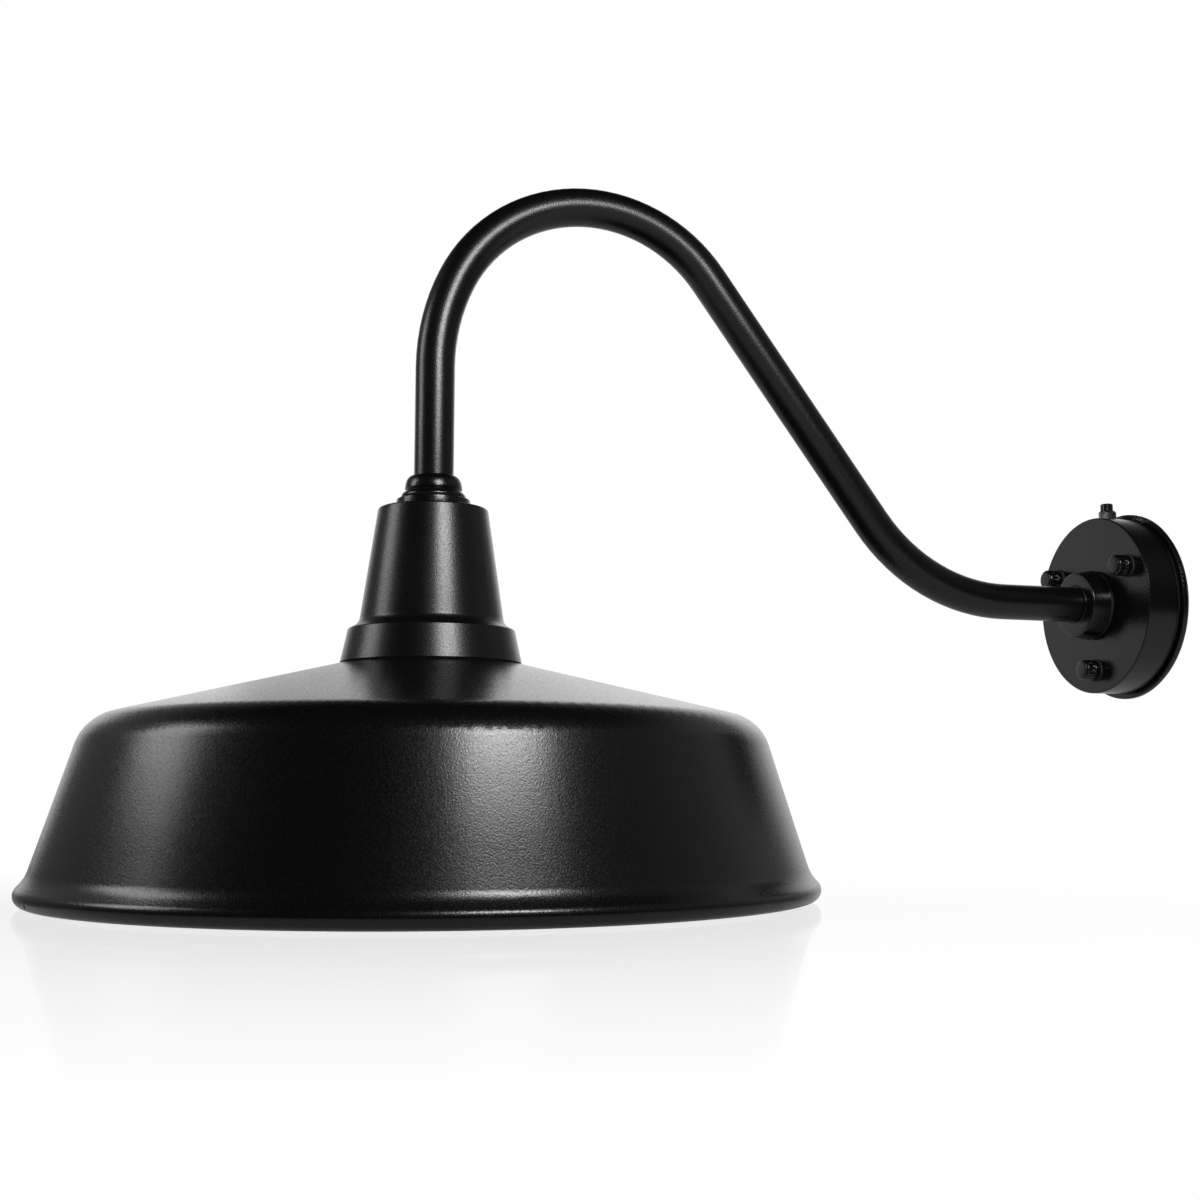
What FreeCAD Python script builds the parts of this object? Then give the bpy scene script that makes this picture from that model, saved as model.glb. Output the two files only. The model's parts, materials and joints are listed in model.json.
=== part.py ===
import FreeCAD, Part
import Sketcher
import math
import os

# Gooseneck wall sconce, in millimetres, +Z up.
# The wall is the plane Y = 0 and the light reaches out along -Y.
# Z = 0 is the axis of the round canopy on the wall.
# The lamp pieces are drawn about the lamp axis, with their own Z = 0 on top of the neck.

doc = FreeCAD.newDocument("GooseneckSconce")
sheet = doc.addObject("Spreadsheet::Sheet", "Size")

SIZES = {
    # wall stack
    "wall_gasket_depth": 1.5,
    "wall_gasket_rim": 1.65,
    "wall_gasket_margin": 0.7,
    "plate_radius": 57.15,
    "plate_depth": 3.0,
    "plate_edge": 0.9,
    "plate_bore": 16.0,
    "box_slot_reach": 39.7,
    "box_slot_run": 9.6,
    "box_slot_width": 4.8,
    "canopy_gasket_depth": 1.5,
    "canopy_gasket_recess": 1.2,
    "canopy_gasket_inset": 1.0,
    "canopy_radius": 54.05,
    "canopy_depth": 20.0,
    "canopy_wall": 2.5,
    "canopy_edge": 0.9,
    # studs and cap nuts
    "stud_circle": 40.0,
    "stud_radius": 2.5,
    "stud_clearance": 0.3,
    "stud_thread": 6.5,
    "nut_washer_radius": 7.0,
    "nut_washer_depth": 1.0,
    "nut_collar_radius": 6.5,
    "nut_collar_length": 3.6,
    "nut_radius": 6.2,
    "nut_cap_length": 5.7,
    "nut_groove": 0.5,
    "nut_cap_chamfer": 0.9,
    # arm
    "pipe_radius": 10.65,
    "pipe_wall": 1.6,
    "arm_reach": 413.2,
    "neck_rise": 36.3,
    "arm_stand": 78.7,
    "lead_radius": 118.5,
    "lead_angle": 25.2,
    "crown_radius": 87.2,
    "crown_angle": 118.1,
    "elbow_radius": 109.6,
    "arm_tail": 20.5,
    "arm_nose": 12.0,
    "pipe_clearance": 0.3,
    # collar and lock nuts
    "collar_gasket_radius": 20.3,
    "collar_gasket_depth": 2.0,
    "collar_front_radius": 19.4,
    "collar_rear_radius": 21.3,
    "collar_depth": 11.9,
    "collar_edge": 0.5,
    "lock_nut_width": 31.0,
    "lock_nut_depth": 5.0,
    # neck
    "neck_height": 82.5,
    "neck_top_radius": 29.3,
    "neck_waist_radius": 38.4,
    "neck_waist_drop": 62.0,
    "neck_cove": 6.0,
    "neck_ledge_radius": 44.1,
    "neck_ledge_drop": 65.0,
    "neck_flange_radius": 47.9,
    "neck_edge": 1.3,
    "neck_ledge_edge": 1.2,
    "neck_wall": 3.0,
    "neck_roof": 4.0,
    "neck_mouth_radius": 36.0,
    # stepped cap on the neck
    "cap_gasket_radius": 18.6,
    "cap_gasket_depth": 0.8,
    "cap_base_radius": 19.8,
    "cap_base_height": 5.3,
    "cap_base_chamfer": 0.6,
    "cap_bead_radius": 17.3,
    "cap_bead_height": 3.8,
    "cap_bead_edge": 1.5,
    "cap_waist_radius": 15.0,
    "cap_waist_height": 0.7,
    "cap_dome_radius": 15.4,
    "cap_dome_band": 2.3,
    "cap_dome_shoulder": 13.9,
    "cap_dome_shoulder_height": 7.8,
    "cap_dome_edge": 3.6,
    "cap_dome_top_radius": 11.3,
    "cap_dome_height": 8.9,
    # shade
    "rim_radius": 202.5,
    "bead_radius": 5.2,
    "shade_wall": 1.2,
    "shade_height": 120.4,
    "shade_hole_radius": 34.0,
    "seat_radius": 48.6,
    "shoulder_radius": 173.3,
    "shoulder_drop": 30.0,
    "shoulder_fillet": 23.5,
    "flare_radius": 197.2,
    "flare_height": 13.1,
    "flare_angle": 42.0,
    "flare_fillet": 14.0,
    "shade_gasket_depth": 1.0,
    "shade_gasket_inset": 1.4,
    # shade clamp
    "screw_head_edge": 0.7,
    "clamp_radius": 46.6,
    "clamp_bore": 21.5,
    "clamp_depth": 1.5,
    "clamp_screw_circle": 42.0,
    "clamp_screw_radius": 2.0,
    "clamp_screw_grip": 7.0,
    "clamp_screw_head_radius": 4.0,
    "clamp_screw_head_depth": 2.4,
    # lamp holder
    "strap_depth": 1.5,
    "strap_width": 27.0,
    "strap_leg": 46.5,
    "holder_radius": 19.4,
    "holder_top_drop": 32.5,
    "holder_height": 48.0,
    "holder_shoulder_radius": 15.5,
    "holder_shoulder_height": 5.0,
    "holder_bore": 14.4,
    "holder_bore_depth": 30.0,
    "holder_lip": 1.5,
    "strap_clearance": 0.3,
    "strap_screw_drop": 41.5,
    "strap_screw_radius": 1.75,
    "strap_screw_grip": 4.0,
    "strap_screw_head_radius": 3.4,
    "strap_screw_head_depth": 1.9,
    "bond_screw_drop": 28.5,
    "bond_screw_grip": 1.6,
    "shell_radius": 14.1,
    "shell_wall": 0.5,
    "shell_length": 24.0,
    "shell_base_bore": 6.0,
    "contact_radius": 4.0,
    "contact_depth": 0.8,
    "contact_spring": 2.0,
    # bulb
    "bulb_cap_radius": 13.1,
    "bulb_cap_length": 20.0,
    "bulb_cap_taper": 1.5,
    "bulb_insulator_depth": 3.0,
    "bulb_tip_radius": 4.0,
    "bulb_tip_depth": 1.2,
    "bulb_body_radius": 30.0,
    "bulb_body_length": 45.0,
    "bulb_neck_radius": 14.0,
    "bulb_neck_length": 4.0,
    "globe_crown": 34.0,
    # photocell on top of the canopy
    "cell_depth": 13.2,
    "cell_barrel_radius": 3.9,
    "cell_body_radius": 7.0,
    "cell_body_length": 18.0,
    "cell_body_drop": 3.3,
    "cell_nut_width": 10.4,
    "cell_nut_height": 5.4,
    "cell_nut_chamfer": 1.2,
    "cell_lens_radius": 3.75,
    "cell_lens_height": 4.6,
    "cell_lens_edge": 0.5,
    # wiring
    "wire_radius": 1.15,
    "wire_spread": 2.7,
    "lead_wire_radius": 0.9,
    "wire_bend": 4.0,
    "wire_hole_clearance": 0.3,
    "wire_hole_depth": 5.0,
    "wire_run_gap": 3.2,
    "wire_turn_in": 13.0,
    "wire_turn_down": 5.0,
    "wire_side_step": 1.6,
    "lead_run_gap": 4.0,
    "lead_pitch": 3.0,
    "lead_drop": 6.0,
    "lead_swing": 24.0,
    "lead_swing_top": 12.0,
    "lead_swing_foot": -6.0,
    "spare_lead_swing": 5.0,
    "spare_lead_top": 17.0,
    "connector_radius": 6.0,
    "connector_tip_radius": 4.0,
    "connector_tip_edge": 1.2,
    "connector_length": 21.0,
    "connector_mouth": 3.2,
    "connector_mouth_depth": 8.0,
    "connector_seat_gap": 0.3,
    "connector_side": 16.0,
    "connector_top": -21.0,
    "spare_connector_side": -29.5,
    "spare_connector_top": 1.0,
    "ground_screw_drop": 23.5,
    "ground_screw_radius": 2.0,
    "ground_screw_head_radius": 4.0,
    "ground_screw_head_depth": 2.2,
}

STUD_ANGLES = (30, 150, 270)
CLAMP_SCREW_COUNT = 3
WIRE_ANGLES = {"wire_black": 330, "wire_white": 210, "wire_green": 90}

# Lengths closer than SAME are equal, and a cut removes at least LEAST_CUT of volume.
SAME = 0.01
LEAST_CUT = 1.0


def fill_sheet():
    """Write every driving size into the sheet, one alias each."""
    for row, (alias, number) in enumerate(SIZES.items(), start=1):
        sheet.set("A%d" % row, alias.replace("_", " "))
        sheet.set("B%d" % row, str(number))
        sheet.setAlias("B%d" % row, alias)
    doc.recompute()


fill_sheet()


def bound(expression):
    """Give an expression its sheet name in front of each size."""
    words = []
    for word in expression.replace("(", "( ").replace(")", " )").split():
        words.append("Size." + word if word in SIZES else word)
    return " ".join(words)


def value(expression):
    """Work out an expression in sizes of the sheet."""
    return float(sheet.evalExpression(bound(expression)))


# Places that several pieces share.
PLATE_REAR = "wall_gasket_depth"
PLATE_FRONT = PLATE_REAR + " + plate_depth"
CANOPY_REAR = PLATE_FRONT + " + canopy_gasket_depth"
CANOPY_FRONT = CANOPY_REAR + " + canopy_depth"
CANOPY_INSIDE = CANOPY_FRONT + " - canopy_wall"
LAMP_OFFSET = CANOPY_FRONT + " + arm_reach"
PIPE_BORE = "pipe_radius + pipe_clearance"
STRAP_TOP = "neck_roof"
LOCK_NUT_TOP = "neck_roof + strap_depth"
SHADE_SEAT = "neck_height + shade_gasket_depth"
CLAMP_TOP = SHADE_SEAT + " + shade_wall"
HOLDER_FOOT = "holder_top_drop + holder_height"
SHELL_TOP = HOLDER_FOOT + " - holder_bore_depth + contact_depth"
CONTACT_TIP = HOLDER_FOOT + " - holder_bore_depth + contact_depth + contact_spring"
BULB_CAP_TOP = CONTACT_TIP + " + bulb_tip_depth + bulb_insulator_depth"
BULB_BODY_TOP = BULB_CAP_TOP + " + bulb_cap_length"
RIM_PLANE = SHADE_SEAT + " + shade_height"


def body(label, at_lamp=False):
    """Start a body, either on the wall axis or on the lamp axis."""
    piece = doc.addObject("PartDesign::Body", label)
    piece.Label = label
    if at_lamp:
        place_at_lamp(piece)
    return piece


def place_at_lamp(piece):
    """Bind a piece's Placement to the top of the neck, on the lamp axis."""
    piece.setExpression("Placement.Base.y", bound("0 - ( %s )" % LAMP_OFFSET))
    piece.setExpression("Placement.Base.z", bound("neck_rise"))


def origin_plane(piece, role):
    """Find one of the body's own origin planes."""
    return next(feature for feature in piece.Origin.OriginFeatures if feature.Role == role)


def new_sketch(piece, role, name, offset=None):
    """Start a sketch on an origin plane, moved along its normal by an expression."""
    sketch = piece.newObject("Sketcher::SketchObject", name)
    sketch.AttachmentSupport = (origin_plane(piece, role), [""])
    sketch.MapMode = "FlatFace"
    if offset:
        sketch.setExpression("AttachmentOffset.Base.z", bound(offset))
    return sketch


def pin_point(sketch, geometry, position, spot):
    """Tie one point of a sketch to two expressions."""
    for kind, expression in zip(("DistanceX", "DistanceY"), spot):
        number = value(expression)
        index = sketch.addConstraint(Sketcher.Constraint(kind, -1, 1, geometry, position, number))
        sketch.setExpression("Constraints[%d]" % index, bound(expression))


def outline(sketch, corners):
    """Draw a closed outline of straight sides and pin each corner."""
    spots = [FreeCAD.Vector(value(across), value(up)) for across, up in corners]
    first = sketch.GeometryCount
    count = len(spots)
    for number, spot in enumerate(spots):
        sketch.addGeometry(Part.LineSegment(spot, spots[(number + 1) % count]))
    for number in range(count):
        following = first + (number + 1) % count
        sketch.addConstraint(Sketcher.Constraint("Coincident", first + number, 2, following, 1))
    for number, corner in enumerate(corners):
        pin_point(sketch, first + number, 1, corner)


def circle(sketch, radius, across="0", up="0"):
    """Draw a circle whose radius and centre are bound to the sheet."""
    centre = FreeCAD.Vector(value(across), value(up))
    normal = FreeCAD.Vector(0, 0, 1)
    number = sketch.addGeometry(Part.Circle(centre, normal, value(radius)))
    index = sketch.addConstraint(Sketcher.Constraint("Radius", number, value(radius)))
    sketch.setExpression("Constraints[%d]" % index, bound(radius))
    pin_point(sketch, number, 3, (across, up))


def rounded_slot(sketch, centre, run, width):
    """Draw a slot along the sketch's own X axis."""
    middle = value(centre)
    half_run = value(run) / 2
    half_width = value(width) / 2
    normal = FreeCAD.Vector(0, 0, 1)
    first = sketch.GeometryCount
    for side in (1, -1):
        end = FreeCAD.Vector(middle + side * half_run, 0)
        start_angle = -math.pi / 2 if side > 0 else math.pi / 2
        arc = Part.ArcOfCircle(Part.Circle(end, normal, half_width), start_angle, start_angle + math.pi)
        sketch.addGeometry(arc)
    for side in (1, -1):
        start = FreeCAD.Vector(middle + side * half_run, side * half_width)
        end = FreeCAD.Vector(middle - side * half_run, side * half_width)
        sketch.addGeometry(Part.LineSegment(start, end))
    sketch.addConstraint(Sketcher.Constraint("Tangent", first, 2, first + 2, 1))
    sketch.addConstraint(Sketcher.Constraint("Tangent", first + 2, 2, first + 1, 1))
    sketch.addConstraint(Sketcher.Constraint("Tangent", first + 1, 2, first + 3, 1))
    sketch.addConstraint(Sketcher.Constraint("Tangent", first + 3, 2, first, 1))
    index = sketch.addConstraint(Sketcher.Constraint("Radius", first, half_width))
    sketch.setExpression("Constraints[%d]" % index, bound(width + " / 2"))
    pin_point(sketch, first, 3, ("%s + %s / 2" % (centre, run), "0"))
    index = sketch.addConstraint(Sketcher.Constraint("DistanceX", -1, 1, first + 1, 3, middle - half_run))
    sketch.setExpression("Constraints[%d]" % index, bound("%s - %s / 2" % (centre, run)))


def turned(piece, corners, name, axis="V_Axis", role="XZ_Plane", cut=False):
    """Turn a closed outline about an axis of its own sketch."""
    sketch = new_sketch(piece, role, name + "_outline")
    outline(sketch, corners)
    kind = "PartDesign::Groove" if cut else "PartDesign::Revolution"
    feature = piece.newObject(kind, name)
    feature.Profile = (sketch, [""])
    feature.ReferenceAxis = (sketch, [axis])
    feature.Angle = 360
    doc.recompute()
    return feature


def turned_on_wall(piece, corners, name, cut=False):
    """Turn an outline of (distance from the wall, radius) corners about the canopy axis."""
    flipped = [("0 - ( %s )" % out, radius) for out, radius in corners]
    return turned(piece, flipped, name, axis="H_Axis", role="YZ_Plane", cut=cut)


def disc_corners(start, end, bore, radius):
    """Corners of a plain ring between two distances."""
    return [(start, bore), (end, bore), (end, radius), (start, radius)]


def lamp_ring(top, foot, bore, radius):
    """Corners of a ring on the lamp axis, with its levels given as drops."""
    high = "0 - ( %s )" % top
    low = "0 - ( %s )" % foot
    return [(bore, high), (bore, low), (radius, low), (radius, high)]


def ring_edges(feature, radius, axis, level):
    """Name the round edges of a given radius, centred on an axis at a given level."""
    names = []
    for number, edge in enumerate(feature.Shape.Edges, start=1):
        curve = edge.Curve
        if not isinstance(curve, Part.Circle) or abs(curve.Radius - radius) > SAME:
            continue
        if abs(getattr(curve.Center, axis) - level) < SAME:
            names.append("Edge%d" % number)
    return names


def dress(piece, kind, name, base, edges, size_name):
    """Add a fillet or a chamfer whose size is bound to the sheet."""
    feature = piece.newObject("PartDesign::" + kind, name)
    feature.Base = (base, edges)
    target = "Radius" if kind == "Fillet" else "Size"
    setattr(feature, target, value(size_name))
    feature.setExpression(target, bound(size_name))
    doc.recompute()
    return feature


def pocket_through(piece, sketch, name):
    """Cut a sketch right through the body, and make sure that it cuts."""
    before = piece.Shape.Volume
    feature = piece.newObject("PartDesign::Pocket", name)
    feature.Profile = (sketch, [""])
    feature.Type = "ThroughAll"
    feature.Midplane = True
    doc.recompute()
    assert feature.Shape.Volume < before - LEAST_CUT, name + " cuts nothing"
    return feature


def circular_pattern(piece, feature, axis_sketch, axis, count, name):
    """Repeat a feature evenly around an axis."""
    before = piece.Shape.Volume
    pattern = piece.newObject("PartDesign::PolarPattern", name)
    pattern.Originals = [feature]
    pattern.Axis = (axis_sketch, [axis])
    pattern.Angle = 360
    pattern.Occurrences = count
    piece.Tip = pattern
    doc.recompute()
    assert abs(pattern.Shape.Volume - before) > LEAST_CUT, name + " repeats nothing"
    return pattern


def shape_piece(label, shape):
    """Keep a shape made by Part's functions as a named piece."""
    piece = doc.addObject("Part::Feature", label)
    piece.Label = label
    piece.Shape = shape
    return piece


def copies(label, form, places):
    """Join copies of one form, each at its own place, under one name."""
    solids = []
    for place in places:
        solid = form.Shape.copy()
        solid.Placement = place.multiply(form.Shape.Placement)
        solids.append(solid)
    return shape_piece(label, Part.makeCompound(solids))


def vector(across, out, up):
    """A point from plain numbers, with the distance from the wall as a positive number."""
    return FreeCAD.Vector(across, -out, up)


def around_wall_axis(radius, angle, out):
    """Places on a circle round the canopy axis, at a distance from the wall."""
    turn = math.radians(angle)
    spot = vector(radius * math.cos(turn), out, radius * math.sin(turn))
    return FreeCAD.Placement(spot, FreeCAD.Rotation())


def add_stud_holes(piece, radius, name):
    """Cut the three stud holes through a piece of the wall stack."""
    for angle in STUD_ANGLES:
        sketch = new_sketch(piece, "XZ_Plane", "%s_%d_outline" % (name, angle))
        across = "stud_circle * cos( %d deg )" % angle
        up = "stud_circle * sin( %d deg )" % angle
        circle(sketch, radius, across, up)
        pocket_through(piece, sketch, "%s_%d" % (name, angle))


# The wall stack.

def make_wall_gasket():
    """Foam ring between the plate and the wall."""
    piece = body("wall_gasket")
    bore = "box_slot_reach + box_slot_run / 2 + box_slot_width / 2 + wall_gasket_margin"
    corners = disc_corners("0", PLATE_REAR, bore, "plate_radius - wall_gasket_rim")
    turned_on_wall(piece, corners, "foam_ring")
    return piece


def make_mounting_plate():
    """Steel plate with slots for the junction box, a wire hole and the stud holes."""
    piece = body("mounting_plate")
    corners = disc_corners(PLATE_REAR, PLATE_FRONT, "plate_bore", "plate_radius")
    disc = turned_on_wall(piece, corners, "plate_disc")
    rim = ring_edges(disc, value("plate_radius"), "y", -value(PLATE_FRONT))
    rim += ring_edges(disc, value("plate_radius"), "y", -value(PLATE_REAR))
    dress(piece, "Fillet", "plate_rim", disc, rim, "plate_edge")
    add_stud_holes(piece, "stud_radius", "plate_stud_hole")
    for side, name in (("", "right"), ("0 - ", "left")):
        sketch = new_sketch(piece, "XZ_Plane", "box_slot_%s_outline" % name)
        rounded_slot(sketch, side + "box_slot_reach", "box_slot_run", "box_slot_width")
        pocket_through(piece, sketch, "box_slot_" + name)
    sketch = new_sketch(piece, "XZ_Plane", "ground_hole_outline")
    circle(sketch, "ground_screw_radius", "0", "0 - ground_screw_drop")
    pocket_through(piece, sketch, "ground_hole")
    return piece


def make_canopy_gasket():
    """Black rubber ring that shows as a dark line behind the canopy."""
    piece = body("canopy_gasket")
    bore = "canopy_radius - canopy_wall - canopy_gasket_inset"
    corners = disc_corners(PLATE_FRONT, CANOPY_REAR, bore, "canopy_radius - canopy_gasket_recess")
    turned_on_wall(piece, corners, "rubber_ring")
    return piece


def make_canopy():
    """Drum cover with a hole for the arm, three stud holes and a photocell hole."""
    piece = body("canopy")
    corners = disc_corners(CANOPY_REAR, CANOPY_FRONT, PIPE_BORE, "canopy_radius")
    drum = turned_on_wall(piece, corners, "drum")
    front = ring_edges(drum, value("canopy_radius"), "y", -value(CANOPY_FRONT))
    dress(piece, "Fillet", "drum_edge", drum, front, "canopy_edge")
    hollow = disc_corners(CANOPY_REAR, CANOPY_INSIDE, "0", "canopy_radius - canopy_wall")
    turned_on_wall(piece, hollow, "drum_hollow", cut=True)
    add_stud_holes(piece, "stud_radius + stud_clearance", "canopy_stud_hole")
    sketch = new_sketch(piece, "XY_Plane", "photocell_hole_outline")
    circle(sketch, "cell_barrel_radius + stud_clearance", "0", "0 - cell_depth")
    hole = piece.newObject("PartDesign::Pocket", "photocell_hole")
    hole.Profile = (sketch, [""])
    hole.Reversed = True
    hole.Type = "ThroughAll"
    before = piece.Shape.Volume
    doc.recompute()
    assert hole.Shape.Volume < before - LEAST_CUT, "the photocell hole cuts nothing"
    return piece


def make_studs():
    """Three threaded studs, set in the plate and long enough for the cap nuts."""
    form = body("stud_form")
    end = CANOPY_FRONT + " + nut_washer_depth + stud_thread"
    turned_on_wall(form, disc_corners(PLATE_REAR, end, "0", "stud_radius"), "stud_rod")
    places = [around_wall_axis(value("stud_circle"), angle, 0) for angle in STUD_ANGLES]
    return copies("mounting_studs", form, places)


def make_nut_washers():
    """Three sealing washers under the cap nuts."""
    form = body("nut_washer_form")
    end = CANOPY_FRONT + " + nut_washer_depth"
    bore = "stud_radius + stud_clearance"
    turned_on_wall(form, disc_corners(CANOPY_FRONT, end, bore, "nut_washer_radius"), "washer_ring")
    places = [around_wall_axis(value("stud_circle"), angle, 0) for angle in STUD_ANGLES]
    return copies("nut_washers", form, places)


def make_cap_nuts():
    """Three round cap nuts: a plain collar, a groove and a closed grip with a chamfered end."""
    form = body("cap_nut_form")
    seat = CANOPY_FRONT + " + nut_washer_depth"
    waist = seat + " + nut_collar_length"
    grip = waist + " + nut_groove"
    tip = waist + " + nut_cap_length"
    corners = [
        (seat, "0"),
        (seat, "nut_collar_radius"),
        (waist, "nut_collar_radius"),
        (waist, "nut_radius - nut_groove"),
        (grip, "nut_radius - nut_groove"),
        (grip, "nut_radius"),
        (tip + " - nut_cap_chamfer", "nut_radius"),
        (tip, "nut_radius - nut_cap_chamfer"),
        (tip, "0"),
    ]
    turned_on_wall(form, corners, "nut_barrel")
    thread = seat + " + stud_thread"
    turned_on_wall(form, disc_corners(seat, thread, "0", "stud_radius"), "nut_thread", cut=True)
    places = [around_wall_axis(value("stud_circle"), angle, 0) for angle in STUD_ANGLES]
    return copies("cap_nuts", form, places)


def make_ground_screw():
    """Green pan-head screw that holds the ground wire on the plate."""
    piece = body("ground_screw")
    head_end = PLATE_FRONT + " + ground_screw_head_depth"
    corners = [
        (PLATE_REAR, "0"),
        (PLATE_REAR, "ground_screw_radius"),
        (PLATE_FRONT, "ground_screw_radius"),
        (PLATE_FRONT, "ground_screw_head_radius"),
        (head_end, "ground_screw_head_radius - screw_head_edge"),
        (head_end, "0"),
    ]
    turned_on_wall(piece, corners, "ground_screw_profile")
    piece.setExpression("Placement.Base.z", bound("0 - ground_screw_drop"))
    return piece


# The arm and what holds it to the canopy.

def arm_edges(shift, tail_end, nose_end):
    """Centre line of the arm, moved by shift to its outer side.

    It stands up from the lamp, turns over in two tangent arcs, runs down at an angle
    and turns level into the canopy. The slanted run ends where the elbow needs it.
    """
    lamp = -value(LAMP_OFFSET)
    base = value("neck_rise")
    lead = value("lead_radius")
    crown = value("crown_radius")
    elbow = value("elbow_radius")
    lead_turn = math.radians(value("lead_angle"))
    full_turn = lead_turn + math.radians(value("crown_angle"))
    fall = full_turn - math.pi / 2
    bend_start = base + value("arm_stand")

    def spot(out, up):
        return FreeCAD.Vector(0, out, up)

    def on_arc(centre, radius, turn):
        return spot(centre.y - radius * math.cos(turn), centre.z + radius * math.sin(turn))

    def off_elbow(centre, radius, turn):
        return spot(centre.y + radius * math.cos(turn), centre.z - radius * math.sin(turn))

    lead_centre = spot(lamp + lead, bend_start)
    crown_start = on_arc(lead_centre, lead, lead_turn)
    crown_centre = crown_start + spot(crown * math.cos(lead_turn), -crown * math.sin(lead_turn))
    slant_start = on_arc(crown_centre, crown, full_turn)
    slant_fall = slant_start.z - elbow * (1 - math.cos(fall))
    slant_end = slant_start + spot(slant_fall / math.tan(fall), -slant_fall)
    elbow_centre = spot(slant_end.y + elbow * math.sin(fall), elbow)
    low = elbow - shift
    quarter = math.pi / 2
    slant_top = on_arc(crown_centre, crown + shift, full_turn)
    slant_foot = off_elbow(elbow_centre, low, quarter + fall)
    lead_mid = on_arc(lead_centre, lead + shift, lead_turn / 2)
    crown_mid = on_arc(crown_centre, crown + shift, (lead_turn + full_turn) / 2)
    crown_foot = on_arc(lead_centre, lead + shift, lead_turn)
    elbow_mid = off_elbow(elbow_centre, low, quarter + fall / 2)
    level = off_elbow(elbow_centre, low, quarter)
    stand_top = spot(lamp - shift, bend_start)
    return [
        Part.LineSegment(spot(lamp - shift, tail_end), stand_top).toShape(),
        Part.Arc(stand_top, lead_mid, crown_foot).toShape(),
        Part.Arc(crown_foot, crown_mid, slant_top).toShape(),
        Part.LineSegment(slant_top, slant_foot).toShape(),
        Part.Arc(slant_foot, elbow_mid, level).toShape(),
        Part.LineSegment(level, spot(nose_end, level.z)).toShape(),
    ]


def sweep(edges, radius):
    """Sweep a round section along tangent edges."""
    spine = Part.Wire(edges)
    start = edges[0].valueAt(edges[0].FirstParameter)
    heading = edges[0].tangentAt(edges[0].FirstParameter)
    section = Part.Wire(Part.makeCircle(radius, start, heading))
    return spine.makePipeShell([section], True, False)


def make_arm():
    """Bent steel pipe, open from end to end for the wires."""
    tail_end = value("neck_rise - arm_tail")
    nose_end = -value(CANOPY_FRONT + " - arm_nose")
    edges = arm_edges(0, tail_end, nose_end)
    pipe = sweep(edges, value("pipe_radius"))
    bore = sweep(edges, value("pipe_radius - pipe_wall"))
    return shape_piece("gooseneck_arm", pipe.cut(bore))


def make_collar_gasket():
    """Rubber ring under the collar."""
    piece = body("collar_gasket")
    end = CANOPY_FRONT + " + collar_gasket_depth"
    corners = disc_corners(CANOPY_FRONT, end, PIPE_BORE, "collar_gasket_radius")
    turned_on_wall(piece, corners, "collar_seal")
    return piece


def make_arm_collar():
    """Tapered collar that closes the joint between arm and canopy."""
    piece = body("arm_collar")
    rear = CANOPY_FRONT + " + collar_gasket_depth"
    front = rear + " + collar_depth"
    corners = [
        (rear, PIPE_BORE),
        (rear, "collar_rear_radius - collar_edge"),
        (rear + " + collar_edge", "collar_rear_radius"),
        (front + " - collar_edge", "collar_front_radius"),
        (front, "collar_front_radius - collar_edge"),
        (front, PIPE_BORE + " + collar_edge"),
        (front + " - collar_edge", PIPE_BORE),
    ]
    turned_on_wall(piece, corners, "collar_turning")
    return piece


def hexagon_nut(piece, plane, width, bore, start, depth, name):
    """A hexagon nut made from a padded sketch with a hole."""
    sketch = new_sketch(piece, plane, name + "_outline", start)
    corner = "%s / 2 / cos( 30 deg )" % width
    corners = []
    for number in range(6):
        angle = 60 * number + 30
        corners.append(("%s * cos( %d deg )" % (corner, angle), "%s * sin( %d deg )" % (corner, angle)))
    outline(sketch, corners)
    circle(sketch, bore)
    nut = piece.newObject("PartDesign::Pad", name)
    nut.Profile = (sketch, [""])
    nut.setExpression("Length", bound(depth))
    doc.recompute()
    return nut


def make_canopy_lock_nut():
    """Hexagon nut that clamps the arm from inside the canopy."""
    piece = body("canopy_lock_nut")
    start = CANOPY_INSIDE + " - lock_nut_depth"
    hexagon_nut(piece, "XZ_Plane", "lock_nut_width", PIPE_BORE, start, "lock_nut_depth", "clamp_nut")
    return piece


def make_neck_lock_nut():
    """Hexagon nut that clamps the neck and the strap on the arm's lower end."""
    piece = body("neck_lock_nut", at_lamp=True)
    start = "0 - ( %s ) - lock_nut_depth" % LOCK_NUT_TOP
    hexagon_nut(piece, "XY_Plane", "lock_nut_width", PIPE_BORE, start, "lock_nut_depth", "neck_nut")
    return piece


# The neck, its cap and the shade.

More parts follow.
